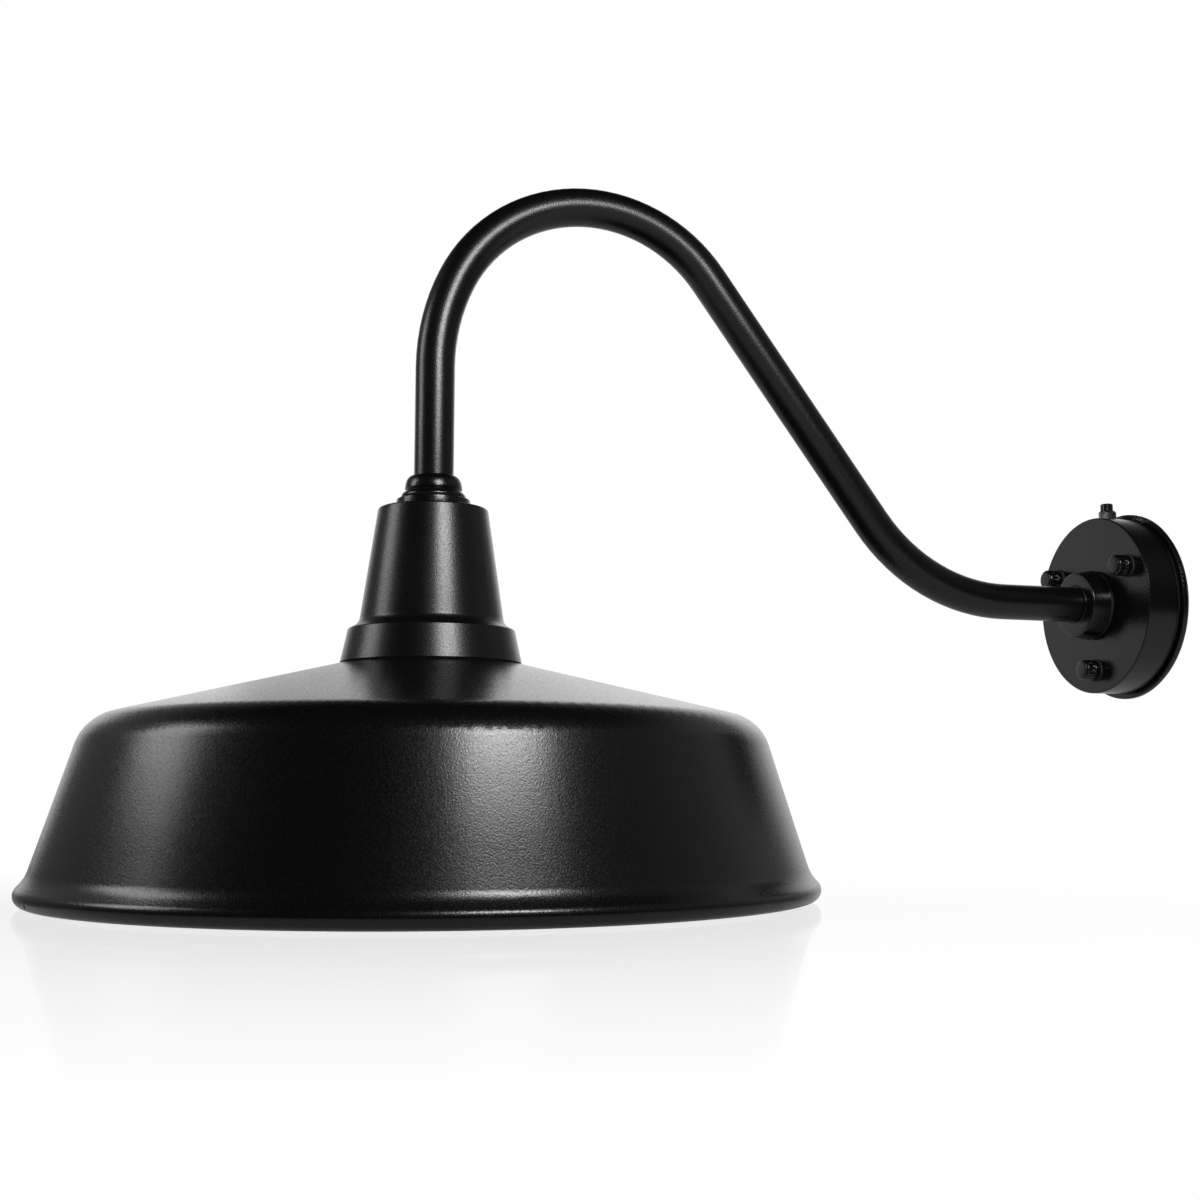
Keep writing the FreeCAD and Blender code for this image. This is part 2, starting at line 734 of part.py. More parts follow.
def make_neck_housing():
    """Cast neck: a long cone that runs through a cove into a wide flange, hollow inside."""
    piece = body("neck_housing", at_lamp=True)
    corners = [
        (PIPE_BORE, "0"),
        ("neck_top_radius", "0"),
        ("neck_waist_radius", "0 - neck_waist_drop"),
        ("neck_ledge_radius", "0 - neck_ledge_drop"),
        ("neck_flange_radius", "0 - neck_height"),
        (PIPE_BORE, "0 - neck_height"),
    ]
    casting = turned(piece, corners, "neck_casting")
    top = ring_edges(casting, value("neck_top_radius"), "z", 0)
    rounded = dress(piece, "Fillet", "neck_top_edge", casting, top, "neck_edge")
    ledge = ring_edges(rounded, value("neck_ledge_radius"), "z", -value("neck_ledge_drop"))
    stepped = dress(piece, "Fillet", "neck_ledge_round", rounded, ledge, "neck_ledge_edge")
    waist = ring_edges(stepped, value("neck_waist_radius"), "z", -value("neck_waist_drop"))
    dress(piece, "Fillet", "neck_cove_round", stepped, waist, "neck_cove")
    hollow = [
        ("0", "0 - neck_roof"),
        ("neck_top_radius - neck_wall", "0 - neck_roof"),
        ("neck_waist_radius - neck_wall", "0 - neck_waist_drop"),
        ("neck_mouth_radius", "0 - neck_height"),
        ("0", "0 - neck_height"),
    ]
    turned(piece, hollow, "neck_hollow", cut=True)
    sketch = new_sketch(piece, "XY_Plane", "neck_screw_hole_outline", "0 - neck_height")
    circle(sketch, "clamp_screw_radius", "clamp_screw_circle", "0")
    hole = piece.newObject("PartDesign::Pocket", "neck_screw_hole")
    hole.Profile = (sketch, [""])
    hole.Reversed = True
    hole.setExpression("Length", bound("clamp_screw_grip"))
    before = piece.Shape.Volume
    doc.recompute()
    assert hole.Shape.Volume < before - LEAST_CUT, "the neck's screw hole cuts nothing"
    circular_pattern(piece, hole, sketch, "N_Axis", CLAMP_SCREW_COUNT, "neck_screw_holes")
    return piece


def make_cap_gasket():
    """Thin rubber ring between the stepped cap and the neck."""
    piece = body("cap_gasket", at_lamp=True)
    corners = lamp_ring("0 - cap_gasket_depth", "0", PIPE_BORE, "cap_gasket_radius")
    turned(piece, corners, "cap_seal")
    return piece


def make_stepped_cap():
    """Turned cap round the arm: a base disc, a bead and a small dome."""
    piece = body("stepped_cap", at_lamp=True)
    base = "cap_gasket_depth"
    base_top = base + " + cap_base_height"
    bead_top = base_top + " + cap_bead_height"
    waist = bead_top + " + cap_waist_height"
    shoulder = waist + " + cap_dome_shoulder_height"
    top = waist + " + cap_dome_height"
    corners = [
        (PIPE_BORE, base),
        ("cap_base_radius", base),
        ("cap_base_radius", base_top + " - cap_base_chamfer"),
        ("cap_base_radius - cap_base_chamfer", base_top),
        ("cap_bead_radius", base_top),
        ("cap_bead_radius", bead_top),
        ("cap_waist_radius", bead_top),
        ("cap_waist_radius", waist),
        ("cap_dome_radius", waist),
        ("cap_dome_radius", waist + " + cap_dome_band"),
        ("cap_dome_shoulder", shoulder),
        ("cap_dome_top_radius", top),
        (PIPE_BORE, top),
    ]
    turning = turned(piece, corners, "cap_turning")
    bead = ring_edges(turning, value("cap_bead_radius"), "z", value(bead_top))
    beaded = dress(piece, "Fillet", "cap_bead_round", turning, bead, "cap_bead_edge")
    dome = ring_edges(beaded, value("cap_dome_shoulder"), "z", value(shoulder))
    dress(piece, "Fillet", "cap_dome_round", beaded, dome, "cap_dome_edge")
    return piece


def make_shade():
    """Spun shade: a flat seat, a shallow cone, a rounded shoulder, a skirt and a rolled rim."""
    piece = body("shade", at_lamp=True)
    seat = "0 - ( %s )" % SHADE_SEAT
    rim = "0 - ( %s )" % RIM_PLANE
    roll_radius = "rim_radius - bead_radius"
    lip_radius = roll_radius + " + bead_radius * cos( flare_angle * 1 deg )"
    lip_level = rim + " + bead_radius + bead_radius * sin( flare_angle * 1 deg )"
    shoulder_level = seat + " - shoulder_drop"
    flare_level = rim + " + flare_height"
    corners = [
        ("0", seat),
        ("seat_radius", seat),
        ("shoulder_radius", shoulder_level),
        ("flare_radius", flare_level),
        (lip_radius, lip_level),
        ("0", lip_level),
    ]
    blank = turned(piece, corners, "spun_blank")
    shoulder = ring_edges(blank, value("shoulder_radius"), "z", value(shoulder_level))
    rounded = dress(piece, "Fillet", "shoulder", blank, shoulder, "shoulder_fillet")
    flare = ring_edges(rounded, value("flare_radius"), "z", value(flare_level))
    flared = dress(piece, "Fillet", "flare", rounded, flare, "flare_fillet")
    mouth = []
    for number, face in enumerate(flared.Shape.Faces, start=1):
        if isinstance(face.Surface, Part.Plane) and abs(face.CenterOfMass.z - value(lip_level)) < SAME:
            mouth.append("Face%d" % number)
    shell = piece.newObject("PartDesign::Thickness", "sheet_metal")
    shell.Base = (flared, mouth)
    shell.setExpression("Value", bound("shade_wall"))
    shell.Join = 1
    shell.Reversed = True
    doc.recompute()
    sketch = new_sketch(piece, "XZ_Plane", "rolled_rim_outline")
    circle(sketch, "bead_radius", roll_radius, rim + " + bead_radius")
    roll = piece.newObject("PartDesign::Revolution", "rolled_rim")
    roll.Profile = (sketch, [""])
    roll.ReferenceAxis = (sketch, ["V_Axis"])
    roll.Angle = 360
    doc.recompute()
    sketch = new_sketch(piece, "XY_Plane", "shade_hole_outline", seat)
    circle(sketch, "shade_hole_radius")
    pocket_through(piece, sketch, "shade_hole")
    add_clamp_holes(piece, seat, "shade_screw_hole")
    return piece


def add_clamp_holes(piece, level, name):
    """Cut the clearance holes of the clamp screws, evenly spaced."""
    sketch = new_sketch(piece, "XY_Plane", name + "_outline", level)
    circle(sketch, "clamp_screw_radius + stud_clearance", "clamp_screw_circle", "0")
    hole = pocket_through(piece, sketch, name)
    circular_pattern(piece, hole, sketch, "N_Axis", CLAMP_SCREW_COUNT, name + "s")


def make_shade_gasket():
    """Rubber ring between the neck and the shade."""
    piece = body("shade_gasket", at_lamp=True)
    outer = "neck_flange_radius - shade_gasket_inset"
    turned(piece, lamp_ring("neck_height", SHADE_SEAT, "neck_mouth_radius", outer), "shade_seal")
    add_clamp_holes(piece, "0 - neck_height", "gasket_screw_hole")
    return piece


def make_clamp_plate():
    """Plate that clamps the shade from below and closes the neck round the lamp holder."""
    piece = body("shade_clamp_plate", at_lamp=True)
    foot = CLAMP_TOP + " + clamp_depth"
    turned(piece, lamp_ring(CLAMP_TOP, foot, "clamp_bore", "clamp_radius"), "clamp_disc")
    add_clamp_holes(piece, "0 - ( %s )" % CLAMP_TOP, "clamp_screw_hole")
    return piece


def make_clamp_screws():
    """Three pan-head screws up through the clamp plate and the shade into the neck."""
    form = body("clamp_screw_form", at_lamp=True)
    head_top = "0 - ( %s + clamp_depth )" % CLAMP_TOP
    head_foot = head_top + " - clamp_screw_head_depth"
    tip = "0 - neck_height + clamp_screw_grip"
    corners = [
        ("0", tip),
        ("clamp_screw_radius", tip),
        ("clamp_screw_radius", head_top),
        ("clamp_screw_head_radius", head_top),
        ("clamp_screw_head_radius - screw_head_edge", head_foot),
        ("0", head_foot),
    ]
    turned(form, corners, "clamp_screw_profile")
    places = []
    for number in range(CLAMP_SCREW_COUNT):
        turn = 2 * math.pi * number / CLAMP_SCREW_COUNT
        radius = value("clamp_screw_circle")
        spot = FreeCAD.Vector(radius * math.cos(turn), radius * math.sin(turn), 0)
        places.append(FreeCAD.Placement(spot, FreeCAD.Rotation()))
    return copies("clamp_screws", form, places)


# The lamp holder and the bulb.

def make_holder_strap():
    """Steel strap clamped in the neck, with a leg down each side of the lamp holder."""
    piece = body("holder_strap", at_lamp=True)
    inner = "holder_radius + strap_clearance"
    outer = inner + " + strap_depth"
    sketch = new_sketch(piece, "XZ_Plane", "strap_outline")
    high = "0 - ( %s )" % STRAP_TOP
    web = high + " - strap_depth"
    foot = high + " - strap_leg"
    corners = [
        ("0 - ( %s )" % outer, high),
        (outer, high),
        (outer, foot),
        (inner, foot),
        (inner, web),
        ("0 - ( %s )" % inner, web),
        ("0 - ( %s )" % inner, foot),
        ("0 - ( %s )" % outer, foot),
    ]
    outline(sketch, corners)
    strap = piece.newObject("PartDesign::Pad", "bent_strap")
    strap.Profile = (sketch, [""])
    strap.Midplane = True
    strap.setExpression("Length", bound("strap_width"))
    doc.recompute()
    sketch = new_sketch(piece, "XY_Plane", "strap_bore_outline")
    circle(sketch, PIPE_BORE)
    pocket_through(piece, sketch, "strap_bore")
    sketch = new_sketch(piece, "YZ_Plane", "strap_screw_hole_outline")
    circle(sketch, "strap_screw_radius", "0", "0 - strap_screw_drop")
    circle(sketch, "strap_screw_radius", "0", "0 - bond_screw_drop")
    pocket_through(piece, sketch, "strap_screw_holes")
    return piece


def make_lamp_holder():
    """Porcelain lamp holder with a deep bore, wire holes and screw holes."""
    piece = body("lamp_holder", at_lamp=True)
    top = "0 - holder_top_drop"
    foot = "0 - ( %s )" % HOLDER_FOOT
    corners = [
        ("0", top),
        ("holder_shoulder_radius", top),
        ("holder_radius", top + " - holder_shoulder_height"),
        ("holder_radius", foot + " + holder_lip"),
        ("holder_radius - holder_lip", foot),
        ("holder_bore", foot),
        ("holder_bore", foot + " + holder_bore_depth"),
        ("0", foot + " + holder_bore_depth"),
    ]
    turned(piece, corners, "porcelain")
    sketch = new_sketch(piece, "XY_Plane", "holder_wire_hole_outline", top)
    for label in ("wire_black", "wire_white"):
        across = "wire_spread * cos( %d deg )" % WIRE_ANGLES[label]
        back = "0 - wire_spread * sin( %d deg )" % WIRE_ANGLES[label]
        circle(sketch, "wire_radius + wire_hole_clearance", across, back)
    holes = piece.newObject("PartDesign::Pocket", "holder_wire_holes")
    holes.Profile = (sketch, [""])
    holes.setExpression("Length", bound("wire_hole_depth"))
    before = piece.Shape.Volume
    doc.recompute()
    assert holes.Shape.Volume < before - LEAST_CUT, "the wire holes cut nothing"
    for side, name in (("", "right"), ("0 - ", "left")):
        start = "%s( holder_radius - strap_screw_grip + strap_clearance )" % side
        sketch = new_sketch(piece, "YZ_Plane", "holder_screw_%s_outline" % name, start)
        circle(sketch, "strap_screw_radius", "0", "0 - strap_screw_drop")
        hole = piece.newObject("PartDesign::Pocket", "holder_screw_" + name)
        hole.Profile = (sketch, [""])
        hole.Reversed = name == "right"
        hole.Type = "ThroughAll"
        before = piece.Shape.Volume
        doc.recompute()
        assert hole.Shape.Volume < before - LEAST_CUT, "the holder's screw hole cuts nothing"
    return piece


def side_screw(label, inner_end, head_seat):
    """A small screw along +X with its head outside the strap."""
    piece = body(label)
    head_end = head_seat + " + strap_screw_head_depth"
    corners = [
        (inner_end, "0"),
        (inner_end, "strap_screw_radius"),
        (head_seat, "strap_screw_radius"),
        (head_seat, "strap_screw_head_radius"),
        (head_end, "strap_screw_head_radius - screw_head_edge"),
        (head_end, "0"),
    ]
    turned(piece, corners, label + "_profile", axis="H_Axis")
    return piece


def make_strap_screws():
    """Two screws through the strap's legs into the lamp holder."""
    seat = "holder_radius + strap_clearance + strap_depth"
    form = side_screw("strap_screw_form", "holder_radius - strap_screw_grip + strap_clearance", seat)
    spot = FreeCAD.Vector(0, -value(LAMP_OFFSET), value("neck_rise - strap_screw_drop"))
    places = []
    for angle in (0, 180):
        places.append(FreeCAD.Placement(spot, FreeCAD.Rotation(FreeCAD.Vector(0, 0, 1), angle)))
    return copies("strap_screws", form, places)


def make_bond_screw():
    """Screw on the strap's left leg that holds the lamp end of the ground wire."""
    seat = "holder_radius + strap_clearance + strap_depth"
    piece = side_screw("bond_screw", "holder_radius + strap_clearance - bond_screw_grip", seat)
    spot = FreeCAD.Vector(0, -value(LAMP_OFFSET), value("neck_rise - bond_screw_drop"))
    piece.Placement = FreeCAD.Placement(spot, FreeCAD.Rotation(FreeCAD.Vector(0, 0, 1), 180))
    return piece


def make_screw_shell():
    """Thin metal screw shell inside the lamp holder."""
    piece = body("screw_shell", at_lamp=True)
    foot = SHELL_TOP + " + shell_length"
    turned(piece, lamp_ring(SHELL_TOP, foot, "shell_radius - shell_wall", "shell_radius"), "shell_tube")
    base = lamp_ring(SHELL_TOP, SHELL_TOP + " + shell_wall", "shell_base_bore", "shell_radius")
    turned(piece, base, "shell_base")
    return piece


def make_centre_contact():
    """Sprung contact at the bottom of the bore, which meets the bulb's tip."""
    piece = body("centre_contact", at_lamp=True)
    top = "0 - ( %s - holder_bore_depth )" % HOLDER_FOOT
    plate = top + " - contact_depth"
    tip = plate + " - contact_spring"
    corners = [
        ("0", top),
        ("contact_radius", top),
        ("contact_radius", plate),
        ("contact_radius / 2", tip),
        ("0", tip),
    ]
    turned(piece, corners, "contact_spring_profile")
    return piece


def make_bulb_tip():
    """Solder tip of the bulb."""
    piece = body("bulb_tip", at_lamp=True)
    top = "0 - ( %s )" % CONTACT_TIP
    foot = top + " - bulb_tip_depth"
    corners = [
        ("0", top),
        ("bulb_tip_radius / 2", top),
        ("bulb_tip_radius", foot),
        ("0", foot),
    ]
    turned(piece, corners, "tip_profile")
    return piece


def make_bulb_insulator():
    """Dark insulating cone between the tip and the screw cap."""
    piece = body("bulb_insulator", at_lamp=True)
    top = "0 - ( %s + bulb_tip_depth )" % CONTACT_TIP
    foot = "0 - ( %s )" % BULB_CAP_TOP
    corners = [
        ("0", top),
        ("bulb_tip_radius", top),
        ("bulb_cap_radius - bulb_cap_taper", foot),
        ("0", foot),
    ]
    turned(piece, corners, "insulator_profile")
    return piece


def make_bulb_cap():
    """Metal screw cap of the bulb."""
    piece = body("bulb_cap", at_lamp=True)
    top = "0 - ( %s )" % BULB_CAP_TOP
    foot = "0 - ( %s )" % BULB_BODY_TOP
    corners = [
        ("0", top),
        ("bulb_cap_radius - bulb_cap_taper", top),
        ("bulb_cap_radius", top + " - bulb_cap_taper"),
        ("bulb_cap_radius", foot),
        ("0", foot),
    ]
    turned(piece, corners, "cap_profile")
    return piece


def bezier_lathe(label, poles, closing):
    """Turn a smooth curve through poles of (radius, level), closed to the axis."""
    curve = Part.BezierCurve()
    curve.setPoles([FreeCAD.Vector(radius, 0, level) for radius, level in poles])
    side = curve.toShape()
    spots = [FreeCAD.Vector(radius, 0, level) for radius, level in closing]
    lines = [Part.makeLine(spots[number], spots[number + 1]) for number in range(len(spots) - 1)]
    face = Part.Face(Part.Wire([side] + lines))
    solid = face.revolve(FreeCAD.Vector(0, 0, 0), FreeCAD.Vector(0, 0, 1), 360)
    piece = shape_piece(label, solid)
    place_at_lamp(piece)
    return piece


def make_bulb_body():
    """White housing of the bulb, which swells from the cap to the globe."""
    top = -value(BULB_BODY_TOP)
    neck = top - value("bulb_neck_length")
    foot = top - value("bulb_body_length")
    neck_radius = value("bulb_neck_radius")
    radius = value("bulb_body_radius")
    reach = (neck - foot) / 2
    poles = [(neck_radius, neck), (neck_radius, neck - reach), (radius, foot + reach), (radius, foot)]
    closing = [(radius, foot), (0, foot), (0, top), (neck_radius, top), (neck_radius, neck)]
    return bezier_lathe("bulb_body", poles, closing)


def make_bulb_globe():
    """Frosted dome that closes the bulb."""
    top = -value(BULB_BODY_TOP) - value("bulb_body_length")
    foot = top - value("globe_crown")
    radius = value("bulb_body_radius")
    pull = 4 / 3 * math.tan(math.pi / 8)
    poles = [
        (radius, top),
        (radius, top - pull * value("globe_crown")),
        (pull * radius, foot),
        (0, foot),
    ]
    closing = [(0, foot), (0, top), (radius, top)]
    return bezier_lathe("bulb_globe", poles, closing)


# The photocell.

def make_photocell_body():
    """Sensor housing inside the canopy, with a threaded barrel up through its wall."""
    piece = body("photocell_body")
    piece.setExpression("Placement.Base.y", bound("0 - cell_depth"))
    shelf = "canopy_radius - cell_body_drop"
    top = "canopy_radius + cell_nut_height"
    corners = [
        ("0", top),
        ("cell_barrel_radius", top),
        ("cell_barrel_radius", shelf),
        ("cell_body_radius", shelf),
        ("cell_body_radius", shelf + " - cell_body_length"),
        ("0", shelf + " - cell_body_length"),
    ]
    turned(piece, corners, "cell_housing")
    return piece


def make_photocell_nut():
    """Bright hexagon nut that clamps the sensor on top of the canopy."""
    piece = body("photocell_nut")
    piece.setExpression("Placement.Base.y", bound("0 - cell_depth"))
    top = "canopy_radius + cell_nut_height"
    hexagon_nut(piece, "XY_Plane", "cell_nut_width", "cell_barrel_radius", "canopy_radius",
                "cell_nut_height", "cell_nut_blank")
    crown = [
        ("cell_nut_width / 2 - cell_nut_chamfer / 3", top),
        ("cell_nut_width", top),
        ("cell_nut_width", top + " - 2 * cell_nut_chamfer"),
        ("cell_nut_width / 2 + cell_nut_chamfer / 2", top + " - cell_nut_chamfer"),
    ]
    turned(piece, crown, "cell_nut_crown", cut=True)
    return piece


def make_photocell_lens():
    """Small dark head of the light sensor."""
    piece = body("photocell_lens")
    piece.setExpression("Placement.Base.y", bound("0 - cell_depth"))
    foot = "canopy_radius + cell_nut_height"
    top = foot + " + cell_lens_height"
    corners = [
        ("0", foot),
        ("cell_lens_radius", foot),
        ("cell_lens_radius", top + " - cell_lens_edge"),
        ("cell_lens_radius - cell_lens_edge", top),
        ("0", top),
    ]
    turned(piece, corners, "lens_head")
    return piece


# The wiring.

def rounded_route(spots, bend):
    """Straight runs through the spots, joined by tangent arcs."""
    edges = []
    start = spots[0]
    for number in range(1, len(spots) - 1):
        corner = spots[number]
        back = (start - corner).normalize()
        ahead = (spots[number + 1] - corner).normalize()
        half = back.getAngle(ahead) / 2
        reach = bend / math.tan(half)
        arc_start = corner + back * reach
        arc_end = corner + ahead * reach
        middle = (back + ahead).normalize()
        arc_middle = corner + middle * (bend / math.sin(half) - bend)
        edges.append(Part.LineSegment(start, arc_start).toShape())
        edges.append(Part.Arc(arc_start, arc_middle, arc_end).toShape())
        start = arc_end
    edges.append(Part.LineSegment(start, spots[-1]).toShape())
    return edges


def arm_wire_edges(label, tail_end):
    """A wire's stretch inside the arm, on its own line beside the centre."""
    turn = math.radians(WIRE_ANGLES[label])
    spread = value("wire_spread")
    nose_end = -value(CANOPY_FRONT + " - arm_nose") + value("wire_bend") / 2
    edges = arm_edges(spread * math.sin(turn), tail_end, nose_end)
    across = FreeCAD.Vector(spread * math.cos(turn), 0, 0)
    for edge in edges:
        edge.translate(across)
    return edges


def joined_tube(parts, radius):
    """One tube along stretches that meet end to end."""
    return sweep([edge for part in parts for edge in part], radius)


def edge_ends(edges):
    """First and last point of a chain of edges."""
    first = edges[0]
    last = edges[-1]
    return first.valueAt(first.FirstParameter), last.valueAt(last.LastParameter)


def make_supply_wire(label, side):
    """Wire from the lamp holder through the arm to a connector in the canopy."""
    tail_end = value("neck_rise - holder_top_drop - wire_hole_depth / 2")
    inside = arm_wire_edges(label, tail_end)
    end = edge_ends(inside)[1]
    run_depth = value(CANOPY_REAR + " + wire_run_gap")
    down_depth = value("cell_depth")
    column = side * value("connector_side - wire_side_step")
    turn_in = value("connector_top + wire_turn_in")
    turn_down = value("connector_top + wire_turn_down")
    seat = value("connector_top - connector_mouth_depth + connector_seat_gap")
    spots = [
        end,
        vector(end.x, run_depth, end.z),
        vector(column, run_depth, turn_in),
        vector(column, down_depth, turn_down),
        vector(column, down_depth, seat),
    ]
    outside = rounded_route(spots, value("wire_bend"))
    return shape_piece(label, joined_tube([inside, outside], value("wire_radius")))


def make_ground_wire():
    """Ground wire from the strap's leg through the arm to the plate's ground screw."""
    turn_level = value("neck_rise - bond_screw_drop")
    inside = arm_wire_edges("wire_green", value("neck_rise - arm_tail"))
    first, last = edge_ends(inside)
    leg = -value("holder_radius + strap_clearance - bond_screw_grip")
    bottom = [
        FreeCAD.Vector(leg, first.y, turn_level),
        FreeCAD.Vector(first.x, first.y, turn_level),
        first,
    ]
    depth = value(PLATE_FRONT + " + ground_screw_head_depth + wire_radius")
    top = [
        last,
        FreeCAD.Vector(last.x, -depth, last.z),
        FreeCAD.Vector(last.x, -depth, -value("ground_screw_drop")),
    ]
    bend = value("wire_bend")
    parts = [rounded_route(bottom, bend), inside, rounded_route(top, bend)]
    return shape_piece("wire_green", joined_tube(parts, value("wire_radius")))


def swung_lead(side, start, swing_width):
    """Points of a lead that swings round the arm's lock nut to a supply connector."""
    near = value("cell_depth")
    far = value(CANOPY_REAR + " + lead_run_gap")
    drop = value("canopy_radius - cell_body_drop - cell_body_length")
    swing = side * value(swing_width)
    column = side * value("connector_side + wire_side_step")
    return [
        (start, near, drop),
        (start, near, drop - value("lead_drop")),
        (swing, far, value("lead_swing_top")),
        (swing, far, value("lead_swing_foot")),
        (column, near, value("connector_top + wire_turn_down")),
        (column, near, value("connector_top - connector_mouth_depth + connector_seat_gap")),
    ]


def spare_lead(start):
    """Points of the lead that hangs straight down to the spare connector."""
    near = value("cell_depth")
    drop = value("canopy_radius - cell_body_drop - cell_body_length")
    column = value("spare_connector_side")
    return [
        (start, near, drop),
        (start, near, drop - value("lead_drop")),
        (column + value("spare_lead_swing"), near, value("spare_lead_top")),
        (column, near, value("spare_connector_top + wire_turn_down")),
        (column, near, value("spare_connector_top - connector_mouth_depth + connector_seat_gap")),
    ]


def make_photocell_leads():
    """Three short leads from the sensor to the three connectors."""
    pitch = value("lead_pitch")
    tubes = []
    right = swung_lead(1, pitch, "lead_swing")
    left = swung_lead(-1, 0, "lead_swing - lead_pitch")
    for route in (right, left, spare_lead(-pitch)):
        spots = [vector(*spot) for spot in route]
        tubes.append(sweep(rounded_route(spots, value("wire_bend")), value("lead_wire_radius")))
    return shape_piece("photocell_leads", Part.makeCompound(tubes))


def make_wire_connectors():
    """Three twist-on connectors that hang in the canopy on the wires."""
    form = body("connector_form")
    mouth = "connector_mouth_depth"
    corners = [
        ("0", "0 - " + mouth),
        ("connector_mouth", "0 - " + mouth),
        ("connector_mouth", "0"),
        ("connector_radius", "0"),
        ("connector_radius", "0 - connector_length / 3"),
        ("connector_tip_radius", "0 - connector_length + connector_tip_edge"),
        ("connector_tip_radius - connector_tip_edge", "0 - connector_length"),
        ("0", "0 - connector_length"),
    ]
    turned(form, corners, "connector_shell")
    depth = value("cell_depth")
    side = value("connector_side")
    top = value("connector_top")
    spots = [
        (side, depth, top),
        (-side, depth, top),
        (value("spare_connector_side"), depth, value("spare_connector_top")),
    ]
    places = [FreeCAD.Placement(vector(*spot), FreeCAD.Rotation()) for spot in spots]
    return copies("wire_connectors", form, places)


def make_all():
    """Make every piece of the light."""
    return [
        make_wall_gasket(),
        make_mounting_plate(),
        make_canopy_gasket(),
        make_canopy(),
        make_studs(),
        make_nut_washers(),
        make_cap_nuts(),
        make_ground_screw(),
        make_arm(),
        make_collar_gasket(),
        make_arm_collar(),
        make_canopy_lock_nut(),
        make_neck_lock_nut(),
        make_neck_housing(),
        make_cap_gasket(),
        make_stepped_cap(),
        make_shade(),
        make_shade_gasket(),
        make_clamp_plate(),
        make_clamp_screws(),
        make_holder_strap(),
        make_lamp_holder(),
        make_strap_screws(),
        make_bond_screw(),
        make_screw_shell(),
        make_centre_contact(),
        make_bulb_tip(),
        make_bulb_insulator(),
        make_bulb_cap(),
        make_bulb_body(),
        make_bulb_globe(),
        make_photocell_body(),
        make_photocell_nut(),
        make_photocell_lens(),
        make_supply_wire("wire_black", 1),
        make_supply_wire("wire_white", -1),
        make_ground_wire(),
        make_photocell_leads(),
        make_wire_connectors(),
    ]


def export(pieces):
    """Check every object, then write one file for each piece."""
    doc.recompute()
    for item in doc.Objects:
        if "Invalid" in item.State or "Error" in item.State:
            raise RuntimeError(item.Label + " did not build")
    os.makedirs("parts", exist_ok=True)
    for piece in pieces:
        shape = piece.Shape
        if shape.isNull() or not shape.isValid() or shape.Volume <= 0:
            raise RuntimeError(piece.Label + " is not a sound solid")
        shape.exportStep("parts/" + piece.Label + ".step")
        print(piece.Label, len(shape.Solids), round(shape.Volume))


export(make_all())
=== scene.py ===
import json
import math

import bmesh
import bpy
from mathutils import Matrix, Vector


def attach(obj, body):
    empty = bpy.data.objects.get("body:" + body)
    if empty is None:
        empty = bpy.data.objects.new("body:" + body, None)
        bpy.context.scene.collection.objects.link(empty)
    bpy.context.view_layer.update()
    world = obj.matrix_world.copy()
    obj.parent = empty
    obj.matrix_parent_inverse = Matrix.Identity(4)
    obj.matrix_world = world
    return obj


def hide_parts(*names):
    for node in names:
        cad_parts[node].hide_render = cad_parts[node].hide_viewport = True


# ---------------------------------------------------------------- sizes, in metres

LAMP_Y = -0.4392
RIM_BOTTOM = -0.1676
STUD_CIRCLE = 0.040
STUD_TURNS = (30.0, 150.0, 270.0)
UP = Vector((0.0, 0.0, 1.0))
FROM_WALL = Vector((0.0, -1.0, 0.0))
LAMP_AXIS = Vector((0.0, LAMP_Y, 0.0))
WALL_AXIS = Vector((0.0, 0.0, 0.0))

# Enamel covers the shade's faces that stay above this height, where the outward and upward
# parts of the face's direction add up to less than the second number.
ENAMEL_BOTTOM = -0.1575
ENAMEL_FACING = -0.25

# Points this close are one, and an edge that turns more than the sharp angle stays sharp.
WELD = 0.000002
SHARP_ANGLE = math.radians(32.0)

# Turned pieces: how finely rings and slopes are told apart, how far a face may lean out of the
# turned surface, and the steps in a turn.
RING_STEP = 0.00001
SLOPE_DIGITS = 3
TURNED_LIMIT = 0.05
TURN_STEPS = 120
MM = 0.001

# Outlines of the turned pieces, in millimetres.
PIPE_HOLE = 10.68
COLLAR_FRONT = 39.5
NUT_RADIUS = 6.2
GRIP_FLUTES = 20
FLUTE_DEPTH = 0.4
GRIP_START = 31.2
GRIP_END = 34.45

CAMERA_PLACE = (0.7930, -0.6012, -0.1121)
CAMERA_TURN = (math.radians(97.074), 0.0, math.radians(72.114))
CAMERA_LENS = 45.66
CAMERA_SENSOR = 36.0
CAMERA_NEAREST = 0.01
TOWARDS_CAMERA = Vector((0.95167, -0.30712, 0.0))
CAMERA_RIGHT = Vector((0.30712, 0.95167, 0.0))

# Lamps: name, azimuth to the right of the camera in degrees, distance, height, size and watts.
LAMPS = (
    ("key_right", 28.0, 0.72, 0.385, (0.30, 0.23), 4.7),
    ("fill_left", -83.0, 1.20, 0.60, (0.48, 0.60), 4.2),
    ("canopy_glow", -146.0, 1.05, 0.13, (0.50, 0.50), 0.40),
)

# The world's strength for matte rays, and what gloss sees of it: two strengths and the two
# places, from -1 to 1 along a direction, between which one turns into the other.
WORLD_FOR_MATTE = 0.5
GLOSS_STUDIO = (0.02, 0.24, -0.6, 0.5)
GLOSS_BACKDROP = (0.0, 1.15, 0.73, 0.935)
GLOSS_RIGHT = (0.78, 1.22, -0.25, 0.10)
GLOSS_ABOVE = (1.0, 0.0, 0.55, 0.80)
GLOSS_BELOW = (0.5, 1.0, 0.0, 0.3)

